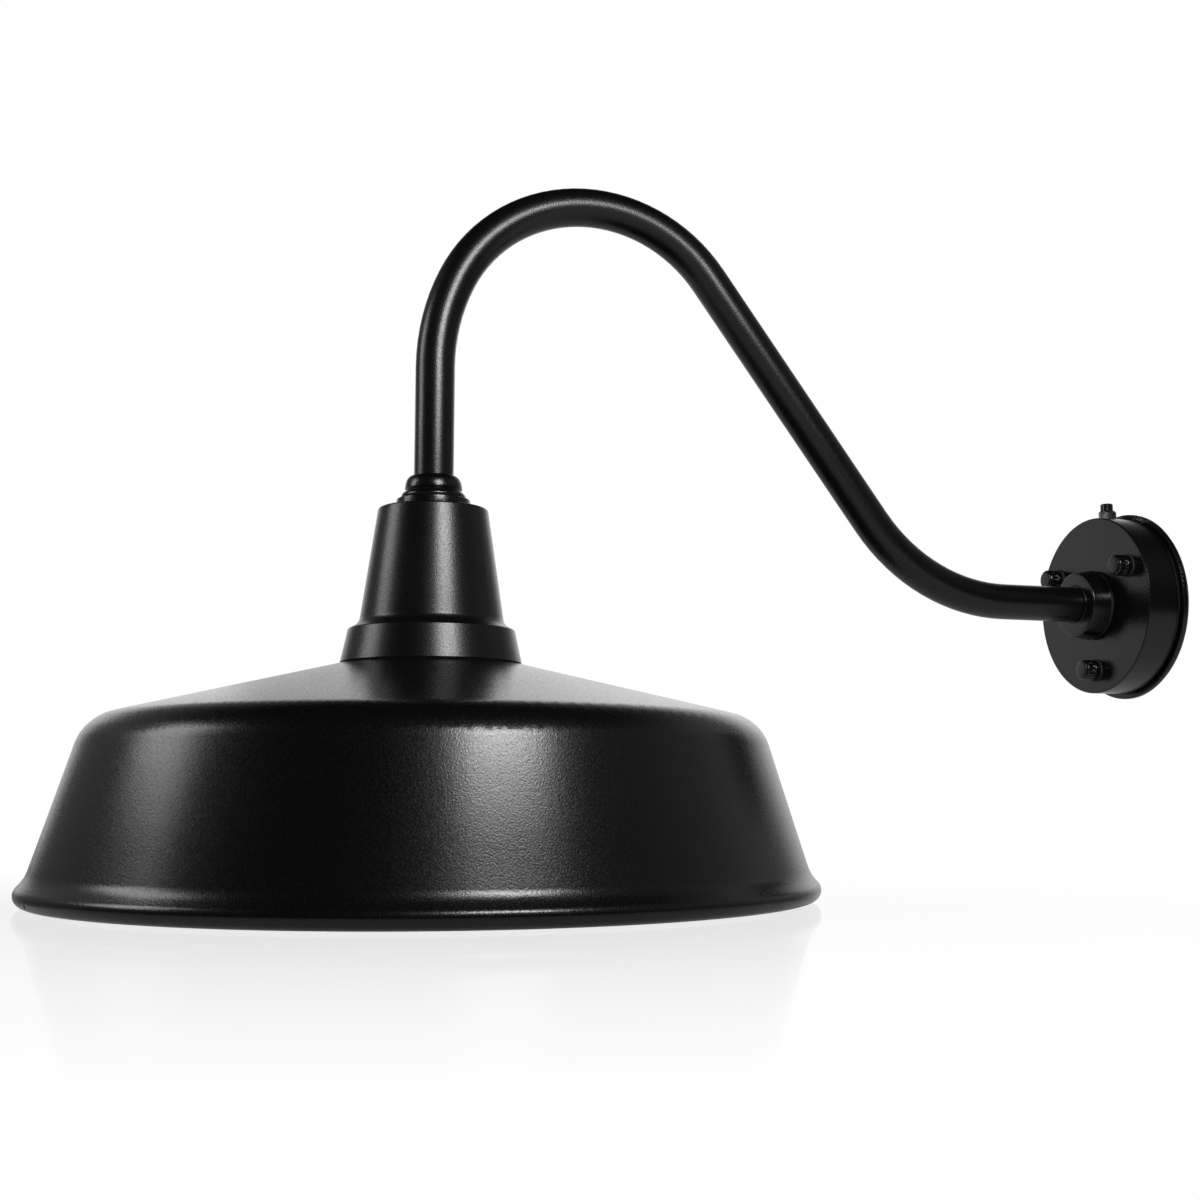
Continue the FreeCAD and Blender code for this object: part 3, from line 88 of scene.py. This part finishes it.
# Floor and mirror sheet. A fade is two shares and the two distances between which one turns
# into the other.
FLOOR_RADIUS = 9.0
FLOOR_HEIGHT = -1.7
FLOOR_PAINT = 0.86
FLOOR_FADE = (0.72, 1.0, 0.3, 1.5)
SHEET_RADIUS = 0.60
SHEET_GAP = 0.0012
SHEET_FADE = (0.24, 0.0, 0.20, 0.52)
SHEET_FRONT_FADE = (0.0, 1.0, -0.25, 0.06)
SHEET_ROUGHNESS = 0.06
DISC_CORNERS = 96

# The arm and the neck wear a duller coat, in the same slot.
DULL_POWDER = "dull_powder"
DULL_NODES = ("gooseneck_arm", "neck_housing")

# Powder coats: the least and the most roughness, and how strong the grain is.
POWDER_COATS = {
    "black_powder": ((0.205, 0.275), 0.36),
    DULL_POWDER: ((0.267, 0.32), 0.30),
}
POWDER_COLOURS = ((0.0012, 0.0012, 0.0013), (0.0020, 0.0020, 0.0021))
POWDER_PATCH = 14.0
POWDER_PATCH_DETAIL = 5.0
POWDER_GLOSS = 1000.0
POWDER_PEEL = (240.0, 0.04, 0.00020)
POWDER_GRAIN = 1250.0
POWDER_GRAIN_DEPTH = 0.00016
POWDER_DETAIL = 1.0

# The bulb's dome and the sensor's lens. A grain is a scale, a strength and a depth.
DOME_COLOURS = ((0.86, 0.86, 0.84), (0.90, 0.90, 0.885))
DOME_PATCH = 60.0
DOME_ROUGHNESS = (0.34, 0.44)
DOME_GRAIN = (900.0, 0.10, 0.0001)
DOME_SOFTNESS = 0.25
DOME_SOFT_DEPTH = 0.004
LENS_COLOURS = ((0.006, 0.006, 0.006), (0.014, 0.013, 0.012))
LENS_PATCH = 300.0
LENS_ROUGHNESS = (0.14, 0.26)
LENS_GRAIN = (700.0, 0.05, 0.0001)

# How finely patterns are broken up, and the part of a pattern over which two colours blend.
NOISE_ROUGHNESS = 0.55
PATCH_DETAIL = 4.0
SMALL_DETAIL = 3.0
GRAIN_DETAIL = 2.0
BLEND_START = 0.35
BLEND_END = 0.65

# Other finishes: two colours, the least and the most roughness, the grain's scale, strength and
# depth, how much of a metal it is, and the scale of its patches.
FINISHES = {
    "white_enamel": (
        (0.80, 0.80, 0.785), (0.86, 0.86, 0.85), (0.20, 0.30),
        (160.0, 0.12, 0.0003), 0.0, 22.0,
    ),
    "zinc_steel": (
        (0.46, 0.47, 0.49), (0.62, 0.62, 0.63), (0.28, 0.46),
        (900.0, 0.25, 0.0001), 1.0, 90.0,
    ),
    "green_screw": (
        (0.02, 0.20, 0.07), (0.03, 0.27, 0.10), (0.30, 0.42),
        (900.0, 0.2, 0.0001), 0.5, 200.0,
    ),
    "bright_nut": (
        (0.56, 0.56, 0.56), (0.74, 0.74, 0.74), (0.12, 0.26),
        (1200.0, 0.15, 0.00006), 1.0, 240.0,
    ),
    "black_rubber": (
        (0.010, 0.010, 0.010), (0.020, 0.020, 0.020), (0.62, 0.80),
        (1400.0, 0.5, 0.0002), 0.0, 35.0,
    ),
    "foam": (
        (0.014, 0.014, 0.015), (0.032, 0.032, 0.033), (0.85, 0.97),
        (1100.0, 0.9, 0.0005), 0.0, 160.0,
    ),
    "porcelain": (
        (0.76, 0.75, 0.71), (0.83, 0.82, 0.79), (0.14, 0.26),
        (240.0, 0.12, 0.0002), 0.0, 70.0,
    ),
    "nickel_shell": (
        (0.56, 0.55, 0.53), (0.70, 0.69, 0.66), (0.18, 0.34),
        (700.0, 0.15, 0.0001), 1.0, 110.0,
    ),
    "brass_contact": (
        (0.62, 0.42, 0.16), (0.78, 0.56, 0.24), (0.22, 0.40),
        (900.0, 0.2, 0.0001), 1.0, 150.0,
    ),
    "bulb_white": (
        (0.79, 0.79, 0.785), (0.84, 0.84, 0.835), (0.36, 0.48),
        (1300.0, 0.12, 0.0001), 0.0, 60.0,
    ),
    "dark_insulator": (
        (0.012, 0.012, 0.014), (0.025, 0.025, 0.028), (0.20, 0.36),
        (800.0, 0.2, 0.0001), 0.0, 120.0,
    ),
    "sensor_plastic": (
        (0.013, 0.013, 0.014), (0.024, 0.024, 0.026), (0.34, 0.50),
        (1500.0, 0.3, 0.0001), 0.0, 150.0,
    ),
}

# Soft coloured plastics, as on wires and twist-on connectors, by their two colours.
PLASTICS = {
    "insulation_black": ((0.012, 0.012, 0.013), (0.024, 0.024, 0.026)),
    "insulation_white": ((0.74, 0.74, 0.72), (0.82, 0.82, 0.80)),
    "insulation_green": ((0.015, 0.19, 0.055), (0.025, 0.27, 0.085)),
    "insulation_red": ((0.42, 0.016, 0.012), (0.56, 0.026, 0.020)),
    "connector_orange": ((0.78, 0.21, 0.020), (0.88, 0.28, 0.035)),
}
PLASTIC_FINISH = ((0.34, 0.52), (1200.0, 0.2, 0.0001), 0.0, 120.0)

# Nodes whose seams are joined.
HEALED = (
    "shade", "neck_housing", "gooseneck_arm", "canopy", "mounting_plate", "nut_washers",
    "lamp_holder", "bulb_body", "bulb_globe", "bulb_cap", "photocell_lens", "photocell_nut",
    "shade_clamp_plate", "wall_gasket", "canopy_gasket", "collar_gasket", "shade_gasket",
)

# Those of them that are turned round each axis.
TURNED_ON_LAMP = ("shade", "neck_housing", "bulb_body", "bulb_globe", "bulb_cap", "lamp_holder")
TURNED_ON_WALL = ("canopy", "mounting_plate", "wall_gasket", "canopy_gasket", "collar_gasket")


# ---------------------------------------------------------------- material helpers

def new_material(name):
    """Start a node material and return it with its tree and its shader."""
    material = bpy.data.materials.new(name)
    material.use_nodes = True
    tree = material.node_tree
    return material, tree, tree.nodes["Principled BSDF"]


def add(tree, kind, **settings):
    """Add a node and set its properties."""
    node = tree.nodes.new(kind)
    for name, setting in settings.items():
        setattr(node, name, setting)
    return node


def surface_place(tree):
    """Give the object's own coordinates, in metres."""
    return add(tree, "ShaderNodeTexCoord").outputs["Object"]


def noise(tree, place, scale, detail):
    """Noise from 0 to 1 over a place."""
    node = add(tree, "ShaderNodeTexNoise")
    node.inputs["Scale"].default_value = scale
    node.inputs["Detail"].default_value = detail
    node.inputs["Roughness"].default_value = NOISE_ROUGHNESS
    tree.links.new(place, node.inputs["Vector"])
    return node.outputs["Fac"]


def spread(tree, number, low, high, start=0.3, end=0.7):
    """Spread a number between two limits."""
    node = add(tree, "ShaderNodeMapRange")
    node.inputs["From Min"].default_value = start
    node.inputs["From Max"].default_value = end
    node.inputs["To Min"].default_value = low
    node.inputs["To Max"].default_value = high
    tree.links.new(number, node.inputs["Value"])
    return node.outputs["Result"]


def combine(tree, operation, first, second):
    """Work out a sum, a product or the like from two sockets. The first may be a plain number."""
    node = add(tree, "ShaderNodeMath", operation=operation)
    for number, place in zip((first, second), node.inputs):
        if isinstance(number, float):
            place.default_value = number
        else:
            tree.links.new(number, place)
    return node.outputs["Value"]


def share_along(tree, place, direction):
    """Give how far a place, or a direction, runs along another direction."""
    node = add(tree, "ShaderNodeVectorMath", operation="DOT_PRODUCT")
    tree.links.new(place, node.inputs[0])
    node.inputs[1].default_value = direction
    return node.outputs["Value"]


def seen_directly(tree):
    """Give 1 for the camera's rays and for those that pass through clear pieces, else 0."""
    kinds = add(tree, "ShaderNodeLightPath").outputs
    return combine(tree, "MAXIMUM", kinds["Is Camera Ray"], kinds["Is Transmission Ray"])


def two_colours(tree, number, first, second):
    """Blend two colours by a number."""
    ramp = add(tree, "ShaderNodeValToRGB")
    ramp.color_ramp.elements[0].position = BLEND_START
    ramp.color_ramp.elements[0].color = (*first, 1.0)
    ramp.color_ramp.elements[1].position = BLEND_END
    ramp.color_ramp.elements[1].color = (*second, 1.0)
    tree.links.new(number, ramp.inputs["Fac"])
    return ramp.outputs["Color"]


def bump(tree, shader, height, strength, depth, below=None):
    """Raise a surface by a height pattern, on top of another bump if there is one."""
    node = add(tree, "ShaderNodeBump")
    node.inputs["Strength"].default_value = strength
    node.inputs["Distance"].default_value = depth
    tree.links.new(height, node.inputs["Height"])
    if below:
        tree.links.new(below, node.inputs["Normal"])
    tree.links.new(node.outputs["Normal"], shader.inputs["Normal"])
    return node.outputs["Normal"]


def finish_material(name, first, second, rough, grain, metal, patch):
    """Make a surface with patches of two colours, uneven gloss and a fine grain."""
    material, tree, shader = new_material(name)
    place = surface_place(tree)
    cloud = noise(tree, place, patch, PATCH_DETAIL)
    tree.links.new(two_colours(tree, cloud, first, second), shader.inputs["Base Color"])
    tree.links.new(spread(tree, cloud, *rough), shader.inputs["Roughness"])
    shader.inputs["Metallic"].default_value = metal
    scale, strength, depth = grain
    bump(tree, shader, noise(tree, place, scale, GRAIN_DETAIL), strength, depth)
    return material


# ---------------------------------------------------------------- materials

def powder_coat(name, rough, grit):
    """Black satin powder coat: a fine orange peel under a finer grain, as strong as grit says."""
    material, tree, shader = new_material(name)
    place = surface_place(tree)
    cloud = noise(tree, place, POWDER_PATCH, POWDER_PATCH_DETAIL)
    tree.links.new(two_colours(tree, cloud, *POWDER_COLOURS), shader.inputs["Base Color"])
    gloss = noise(tree, place, POWDER_GLOSS, POWDER_DETAIL)
    roughness = spread(tree, gloss, *rough, BLEND_START, BLEND_END)
    tree.links.new(roughness, shader.inputs["Roughness"])
    scale, strength, depth = POWDER_PEEL
    peel = bump(tree, shader, noise(tree, place, scale, POWDER_DETAIL), strength, depth)
    grain = noise(tree, place, POWDER_GRAIN, POWDER_DETAIL)
    bump(tree, shader, grain, grit, POWDER_GRAIN_DEPTH, peel)
    return material


def glow_dome(name):
    """The bulb's milky dome: frosted plastic with some light passing into it."""
    material, tree, shader = new_material(name)
    place = surface_place(tree)
    cloud = noise(tree, place, DOME_PATCH, SMALL_DETAIL)
    tree.links.new(two_colours(tree, cloud, *DOME_COLOURS), shader.inputs["Base Color"])
    tree.links.new(spread(tree, cloud, *DOME_ROUGHNESS), shader.inputs["Roughness"])
    shader.inputs["Subsurface Weight"].default_value = DOME_SOFTNESS
    shader.inputs["Subsurface Scale"].default_value = DOME_SOFT_DEPTH
    scale, strength, depth = DOME_GRAIN
    bump(tree, shader, noise(tree, place, scale, GRAIN_DETAIL), strength, depth)
    return material


def clear_lens(name):
    """The sensor's small window: glossy dark clear plastic."""
    material, tree, shader = new_material(name)
    place = surface_place(tree)
    cloud = noise(tree, place, LENS_PATCH, SMALL_DETAIL)
    tree.links.new(two_colours(tree, cloud, *LENS_COLOURS), shader.inputs["Base Color"])
    tree.links.new(spread(tree, cloud, *LENS_ROUGHNESS), shader.inputs["Roughness"])
    scale, strength, depth = LENS_GRAIN
    bump(tree, shader, noise(tree, place, scale, GRAIN_DETAIL), strength, depth)
    return material


def make_materials():
    """Make one finish for each material slot of the record, and the dull powder coat."""
    finishes = {
        "bulb_diffuser": glow_dome("bulb_diffuser"),
        "sensor_lens": clear_lens("sensor_lens"),
    }
    for name, settings in POWDER_COATS.items():
        finishes[name] = powder_coat(name, *settings)
    for name, settings in FINISHES.items():
        finishes[name] = finish_material(name, *settings)
    for name, colours in PLASTICS.items():
        finishes[name] = finish_material(name, *colours, *PLASTIC_FINISH)
    return finishes


# ---------------------------------------------------------------- stage and light

def emission_world():
    """A white background for the eye, and a weaker one for matte surfaces.

    Gloss sees a bright backdrop behind the light and a dim studio round it."""
    world = bpy.data.worlds.new("studio")
    bpy.context.scene.world = world
    world.use_nodes = True
    tree = world.node_tree
    shader = tree.nodes["Background"]
    shader.inputs["Color"].default_value = (1.0, 1.0, 1.0, 1.0)
    coordinates = add(tree, "ShaderNodeTexCoord")
    view = coordinates.outputs["Generated"]
    away = share_along(tree, view, -TOWARDS_CAMERA)
    studio = spread(tree, away, *GLOSS_STUDIO)
    backdrop = spread(tree, away, *GLOSS_BACKDROP)
    behind = combine(tree, "ADD", studio, backdrop)
    right = spread(tree, share_along(tree, view, CAMERA_RIGHT), *GLOSS_RIGHT)
    height = add(tree, "ShaderNodeSeparateXYZ")
    tree.links.new(view, height.inputs["Vector"])
    low = spread(tree, height.outputs["Z"], *GLOSS_ABOVE)
    risen = spread(tree, height.outputs["Z"], *GLOSS_BELOW)
    sides = combine(tree, "MULTIPLY", behind, right)
    heights = combine(tree, "MULTIPLY", low, risen)
    rays = add(tree, "ShaderNodeLightPath")
    glossy = add(tree, "ShaderNodeMix", data_type="FLOAT")
    tree.links.new(rays.outputs["Is Glossy Ray"], glossy.inputs["Factor"])
    glossy.inputs["A"].default_value = WORLD_FOR_MATTE
    tree.links.new(combine(tree, "MULTIPLY", sides, heights), glossy.inputs["B"])
    strength = combine(tree, "MAXIMUM", seen_directly(tree), glossy.outputs["Result"])
    tree.links.new(strength, shader.inputs["Strength"])


def disc(name, radius, height):
    """A flat round sheet under the lamp, at a height."""
    bpy.ops.mesh.primitive_circle_add(
        vertices=DISC_CORNERS, radius=radius, fill_type="NGON", location=(0.0, LAMP_Y, height)
    )
    sheet = bpy.context.object
    sheet.name = name
    return sheet


def distance_from_lamp(tree):
    """The distance from the lamp's axis, measured flat, in metres."""
    coordinates = add(tree, "ShaderNodeTexCoord")
    flat = add(tree, "ShaderNodeVectorMath", operation="MULTIPLY")
    tree.links.new(coordinates.outputs["Object"], flat.inputs[0])
    flat.inputs[1].default_value = (1.0, 1.0, 0.0)
    reach = add(tree, "ShaderNodeVectorMath", operation="LENGTH")
    tree.links.new(flat.outputs["Vector"], reach.inputs[0])
    return reach.outputs["Value"]


def mixed_material(name, first, second, share):
    """Make a material that mixes two kinds of surface. share builds the second one's share."""
    material = bpy.data.materials.new(name)
    material.use_nodes = True
    tree = material.node_tree
    tree.nodes.clear()
    end = add(tree, "ShaderNodeOutputMaterial")
    surfaces = [add(tree, kind) for kind in (first, second)]
    mix = add(tree, "ShaderNodeMixShader")
    tree.links.new(share(tree), mix.inputs["Fac"])
    for surface, place in zip(surfaces, (mix.inputs[1], mix.inputs[2])):
        tree.links.new(surface.outputs[0], place)
    tree.links.new(mix.outputs["Shader"], end.inputs["Surface"])
    return material, surfaces


def floor_share(tree):
    """The white's share of the floor: only where seen directly, and less near the lamp."""
    fade = spread(tree, distance_from_lamp(tree), *FLOOR_FADE)
    return combine(tree, "MULTIPLY", seen_directly(tree), fade)


def make_floor():
    """A plain pale floor well below the lamp. It keeps the lamp's shadow and fades to white."""
    floor = disc("floor", FLOOR_RADIUS, FLOOR_HEIGHT)
    material, (paint, white) = mixed_material(
        "pale_floor", "ShaderNodeBsdfDiffuse", "ShaderNodeEmission", floor_share
    )
    paint.inputs["Color"].default_value = (FLOOR_PAINT, FLOOR_PAINT, FLOOR_PAINT, 1.0)
    white.inputs["Strength"].default_value = 1.0
    floor.data.materials.append(material)


def sheet_share(tree):
    """The mirror's share of the sheet: only from above, and none behind the lamp or far off."""
    near = spread(tree, distance_from_lamp(tree), *SHEET_FADE)
    coordinates = add(tree, "ShaderNodeTexCoord")
    before = share_along(tree, coordinates.outputs["Object"], TOWARDS_CAMERA)
    front = combine(tree, "MULTIPLY", near, spread(tree, before, *SHEET_FRONT_FADE))
    geometry = add(tree, "ShaderNodeNewGeometry")
    above = combine(tree, "SUBTRACT", 1.0, geometry.outputs["Backfacing"])
    return combine(tree, "MULTIPLY", front, above)


def make_mirror_sheet():
    """A clear thin sheet just under the rim. From above it shows a faint image of the shade."""
    sheet = disc("mirror_sheet", SHEET_RADIUS, RIM_BOTTOM - SHEET_GAP)
    material, (_, mirror) = mixed_material(
        "clear_sheet", "ShaderNodeBsdfTransparent", "ShaderNodeBsdfGlossy", sheet_share
    )
    mirror.inputs["Roughness"].default_value = SHEET_ROUGHNESS
    sheet.data.materials.append(material)
    return sheet


def soft_box(name, azimuth, distance, height, size, power):
    """An upright soft lamp that faces the lamp's axis, at a turn to the right of the camera."""
    turn = math.radians(azimuth)
    direction = TOWARDS_CAMERA * math.cos(turn) + CAMERA_RIGHT * math.sin(turn)
    data = bpy.data.lights.new(name, "AREA")
    data.shape = "RECTANGLE"
    data.size, data.size_y = size
    data.energy = power
    lamp = bpy.data.objects.new(name, data)
    lamp.location = LAMP_AXIS + direction * distance + UP * height
    lamp.rotation_euler = (-direction).to_track_quat("-Z", "Y").to_euler()
    lamp.visible_camera = False
    bpy.context.scene.collection.objects.link(lamp)
    return lamp


def make_lights(sheet):
    """A key lamp right of the camera, one at its left, and a low glow on the canopy's face.

    The mirror sheet takes no light from them, so it shows the shade but no lamp."""
    unlit = bpy.data.collections.new("unlit")
    unlit.objects.link(sheet)
    unlit.collection_objects[0].light_linking.link_state = "EXCLUDE"
    for lamp in LAMPS:
        soft_box(*lamp).light_linking.receiver_collection = unlit


def make_camera():
    """The photograph's camera."""
    data = bpy.data.cameras.new("camera")
    data.lens = CAMERA_LENS
    data.sensor_width = CAMERA_SENSOR
    data.clip_start = CAMERA_NEAREST
    camera = bpy.data.objects.new("camera", data)
    camera.location = CAMERA_PLACE
    camera.rotation_euler = CAMERA_TURN
    bpy.context.scene.collection.objects.link(camera)
    bpy.context.scene.camera = camera


# ---------------------------------------------------------------- the part

def dress_nodes(frame, finishes, slots):
    """Give every CAD node the finish of its slot in the record."""
    for name, piece in frame["nodes"].items():
        piece.data.materials.clear()
        piece.data.materials.append(finishes[slots[name]])


def place_piece(name, mesh, finish, node):
    """Set a mesh in the scene in the place of a CAD node."""
    mesh.materials.append(finish)
    piece = bpy.data.objects.new(name, mesh)
    bpy.context.scene.collection.objects.link(piece)
    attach(piece, "root")
    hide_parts(node)
    return piece


def healed_copy(frame, node, finish):
    """Copy a CAD node with its seams joined, so that light runs smoothly across them."""
    mesh = bpy.data.meshes.new(node + "_skin")
    work = bmesh.new()
    work.from_mesh(frame["nodes"][node].data)
    bmesh.ops.remove_doubles(work, verts=work.verts, dist=WELD)
    for face in work.faces:
        face.smooth = True
    for edge in work.edges:
        if len(edge.link_faces) != 2 or edge.calc_face_angle() > SHARP_ANGLE:
            edge.smooth = False
    work.to_mesh(mesh)
    work.free()
    return place_piece(node + "_skin", mesh, finish, node)


def turned_normals(piece, centre, axis):
    """Shade a turned piece as the true surface of revolution, whatever its facets are.

    Each corner takes the slope that the faces round its ring have on its side of a sharp edge."""
    mesh = piece.data
    faces = []
    rings = {}
    for face in mesh.polygons:
        along = face.normal.dot(axis)
        out = face.center - centre
        out -= axis * out.dot(axis)
        outward = face.normal.dot(out.normalized())
        reach = math.sqrt(max(0.0, 1.0 - along * along))
        turned = abs(reach - abs(outward)) < TURNED_LIMIT
        slope = math.atan2(along, math.copysign(reach, outward))
        faces.append((turned, slope))
        for vertex in face.vertices:
            if turned:
                key = ring_key(mesh.vertices[vertex].co, centre, axis)
                rings.setdefault(key, []).append((slope, face.area))
    normals = []
    means = {}
    for face, (turned, slope) in zip(mesh.polygons, faces):
        for vertex in face.vertices:
            if not turned:
                normals.append(face.normal.copy())
                continue
            place = mesh.vertices[vertex].co
            key = ring_key(place, centre, axis)
            corner = (key, round(slope, SLOPE_DIGITS))
            if corner not in means:
                means[corner] = ring_slope(rings[key], slope)
            mean = means[corner]
            out = place - centre
            out -= axis * out.dot(axis)
            normals.append(out.normalized() * math.cos(mean) + axis * math.sin(mean))
    mesh.normals_split_custom_set(normals)


def ring_key(place, centre, axis):
    """Name the ring that a point lies on by its height and its radius, in ring steps."""
    along = (place - centre).dot(axis)
    out = (place - centre) - axis * along
    return round(along / RING_STEP), round(out.length / RING_STEP)


def ring_slope(around, slope):
    """Average the slopes round a ring that turn less than the sharp angle from one of them."""
    total = 0.0
    weight = 0.0
    for other, area in around:
        turn = (other - slope + math.pi) % (2.0 * math.pi) - math.pi
        if abs(turn) < SHARP_ANGLE:
            total += turn * area
            weight += area
    return slope + total / weight


def quarter(start, end, steps=7):
    """A quarter of an ellipse that leaves start along the axis and reaches end across it."""
    points = []
    for step in range(steps + 1):
        turn = step / steps * math.pi / 2.0
        reach = end[0] + (start[0] - end[0]) * math.cos(turn)
        along = start[1] + (end[1] - start[1]) * math.sin(turn)
        points.append((reach, along))
    return points


def lathe(node, finish, outline, centres, axis, flutes=None):
    """Turn a closed outline of radius and height, in millimetres, and let it replace a node.

    flutes holds their number, their depth and the heights between which they run."""
    side = axis.orthogonal().normalized()
    across = axis.cross(side)
    vertices = []
    faces = []
    for centre in centres:
        first = len(vertices)
        for number in range(TURN_STEPS):
            turn = 2.0 * math.pi * number / TURN_STEPS
            out = side * math.cos(turn) + across * math.sin(turn)
            for reach, along in outline:
                if flutes and flutes[2] <= along <= flutes[3]:
                    reach -= flutes[1] * abs(math.sin(flutes[0] * turn / 2.0))
                vertices.append(centre + (out * reach + axis * along) * MM)
        count = len(outline)
        for number in range(TURN_STEPS):
            here = first + number * count
            there = first + (number + 1) % TURN_STEPS * count
            for step in range(count):
                after = (step + 1) % count
                faces.append((here + step, there + step, there + after, here + after))
    mesh = bpy.data.meshes.new(node + "_turned")
    mesh.from_pydata(vertices, [], faces)
    work = bmesh.new()
    work.from_mesh(mesh)
    bmesh.ops.remove_doubles(work, verts=work.verts, dist=WELD)
    bmesh.ops.recalc_face_normals(work, faces=work.faces)
    for face in work.faces:
        face.smooth = True
    for edge in work.edges:
        if len(edge.link_faces) == 2 and edge.calc_face_angle() > SHARP_ANGLE:
            edge.smooth = False
    work.to_mesh(mesh)
    work.free()
    place_piece(node + "_turned", mesh, finish, node)


def make_cap(finish, slot):
    """The cap on the neck: a base ring, a bead and a dome that closes on the pipe."""
    outline = [(PIPE_HOLE, 37.1), (19.4, 37.1), (19.8, 37.5)]
    outline += quarter((19.8, 40.9), (19.1, 41.6), 4)
    outline += [(17.0, 41.8)] + quarter((17.4, 42.7), (14.7, 45.5))
    outline += [(14.3, 45.8), (14.4, 46.1)] + quarter((15.4, 47.3), (11.8, 54.2), 10)
    outline += [(PIPE_HOLE, 54.4)]
    lathe("stepped_cap", finish, outline, [LAMP_AXIS], UP)


def make_collar(finish, slot):
    """The collar on the canopy: a cone with a rounded front edge and a small bead at the pipe."""
    bead = (11.7, 39.9)
    outline = [(PIPE_HOLE, 28.0), (20.9, 28.0), (21.3, 28.5)]
    outline += quarter((19.5, 38.5), (18.4, COLLAR_FRONT), 5)
    outline += [(12.4, COLLAR_FRONT)]
    outline += quarter((12.3, COLLAR_FRONT), bead, 4)
    outline += quarter((11.1, COLLAR_FRONT), bead, 4)[::-1][1:]
    outline += [(PIPE_HOLE, COLLAR_FRONT)]
    lathe("arm_collar", finish, outline, [WALL_AXIS], FROM_WALL)


def make_nuts(finish, slot):
    """Cap nuts: a plain collar, a shallow groove, a fluted grip and a rounded front."""
    outline = [(0.0, 27.0), (NUT_RADIUS, 27.0), (NUT_RADIUS, 29.6), (6.0, 29.9), (6.0, 30.3)]
    outline += [(NUT_RADIUS, 30.6), (NUT_RADIUS, GRIP_START), (NUT_RADIUS, 34.4)]
    outline += quarter((NUT_RADIUS, 34.5), (4.2, 36.1), 6) + [(2.5, 36.25), (0.0, 36.3)]
    centres = []
    for degrees in STUD_TURNS:
        turn = math.radians(degrees)
        centres.append(Vector((math.cos(turn), 0.0, math.sin(turn))) * STUD_CIRCLE)
    flutes = (GRIP_FLUTES, FLUTE_DEPTH, GRIP_START, GRIP_END)
    lathe("cap_nuts", finish, outline, centres, FROM_WALL, flutes)


def line_shade(shade, enamel_finish):
    """Give the shade's inner side its white enamel, down to the rolled rim."""
    shade.data.materials.append(enamel_finish)
    for face in shade.data.polygons:
        outward = Vector((face.center.x, face.center.y - LAMP_Y, 0.0)).normalized()
        facing = face.normal.dot(outward + UP)
        lowest = min(shade.data.vertices[number].co.z for number in face.vertices)
        if lowest > ENAMEL_BOTTOM and facing < ENAMEL_FACING:
            face.material_index = 1


REMADE = ((make_cap, "stepped_cap"), (make_collar, "arm_collar"), (make_nuts, "cap_nuts"))

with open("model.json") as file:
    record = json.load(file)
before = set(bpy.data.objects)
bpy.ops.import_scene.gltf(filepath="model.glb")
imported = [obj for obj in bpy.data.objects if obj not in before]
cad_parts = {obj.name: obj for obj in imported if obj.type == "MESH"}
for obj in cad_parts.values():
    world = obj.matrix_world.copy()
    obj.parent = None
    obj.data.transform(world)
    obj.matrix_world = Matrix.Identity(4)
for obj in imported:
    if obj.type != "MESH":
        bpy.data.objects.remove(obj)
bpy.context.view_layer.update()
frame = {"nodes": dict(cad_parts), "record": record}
make_camera()
emission_world()
make_floor()
make_lights(make_mirror_sheet())
bpy.context.scene.view_settings.view_transform = "Standard"
finishes = make_materials()
slots = {row["node"]: row["material_slot"] for row in frame["record"]["subparts"]}
dress_nodes(frame, finishes, slots)
skins = {}
for node in HEALED:
    finish = finishes[DULL_POWDER if node in DULL_NODES else slots[node]]
    skins[node] = healed_copy(frame, node, finish)
for node in TURNED_ON_LAMP:
    turned_normals(skins[node], LAMP_AXIS, UP)
for node in TURNED_ON_WALL:
    turned_normals(skins[node], WALL_AXIS, FROM_WALL)
line_shade(skins["shade"], finishes["white_enamel"])
for make_piece, node in REMADE:
    make_piece(finishes[slots[node]], slots[node])
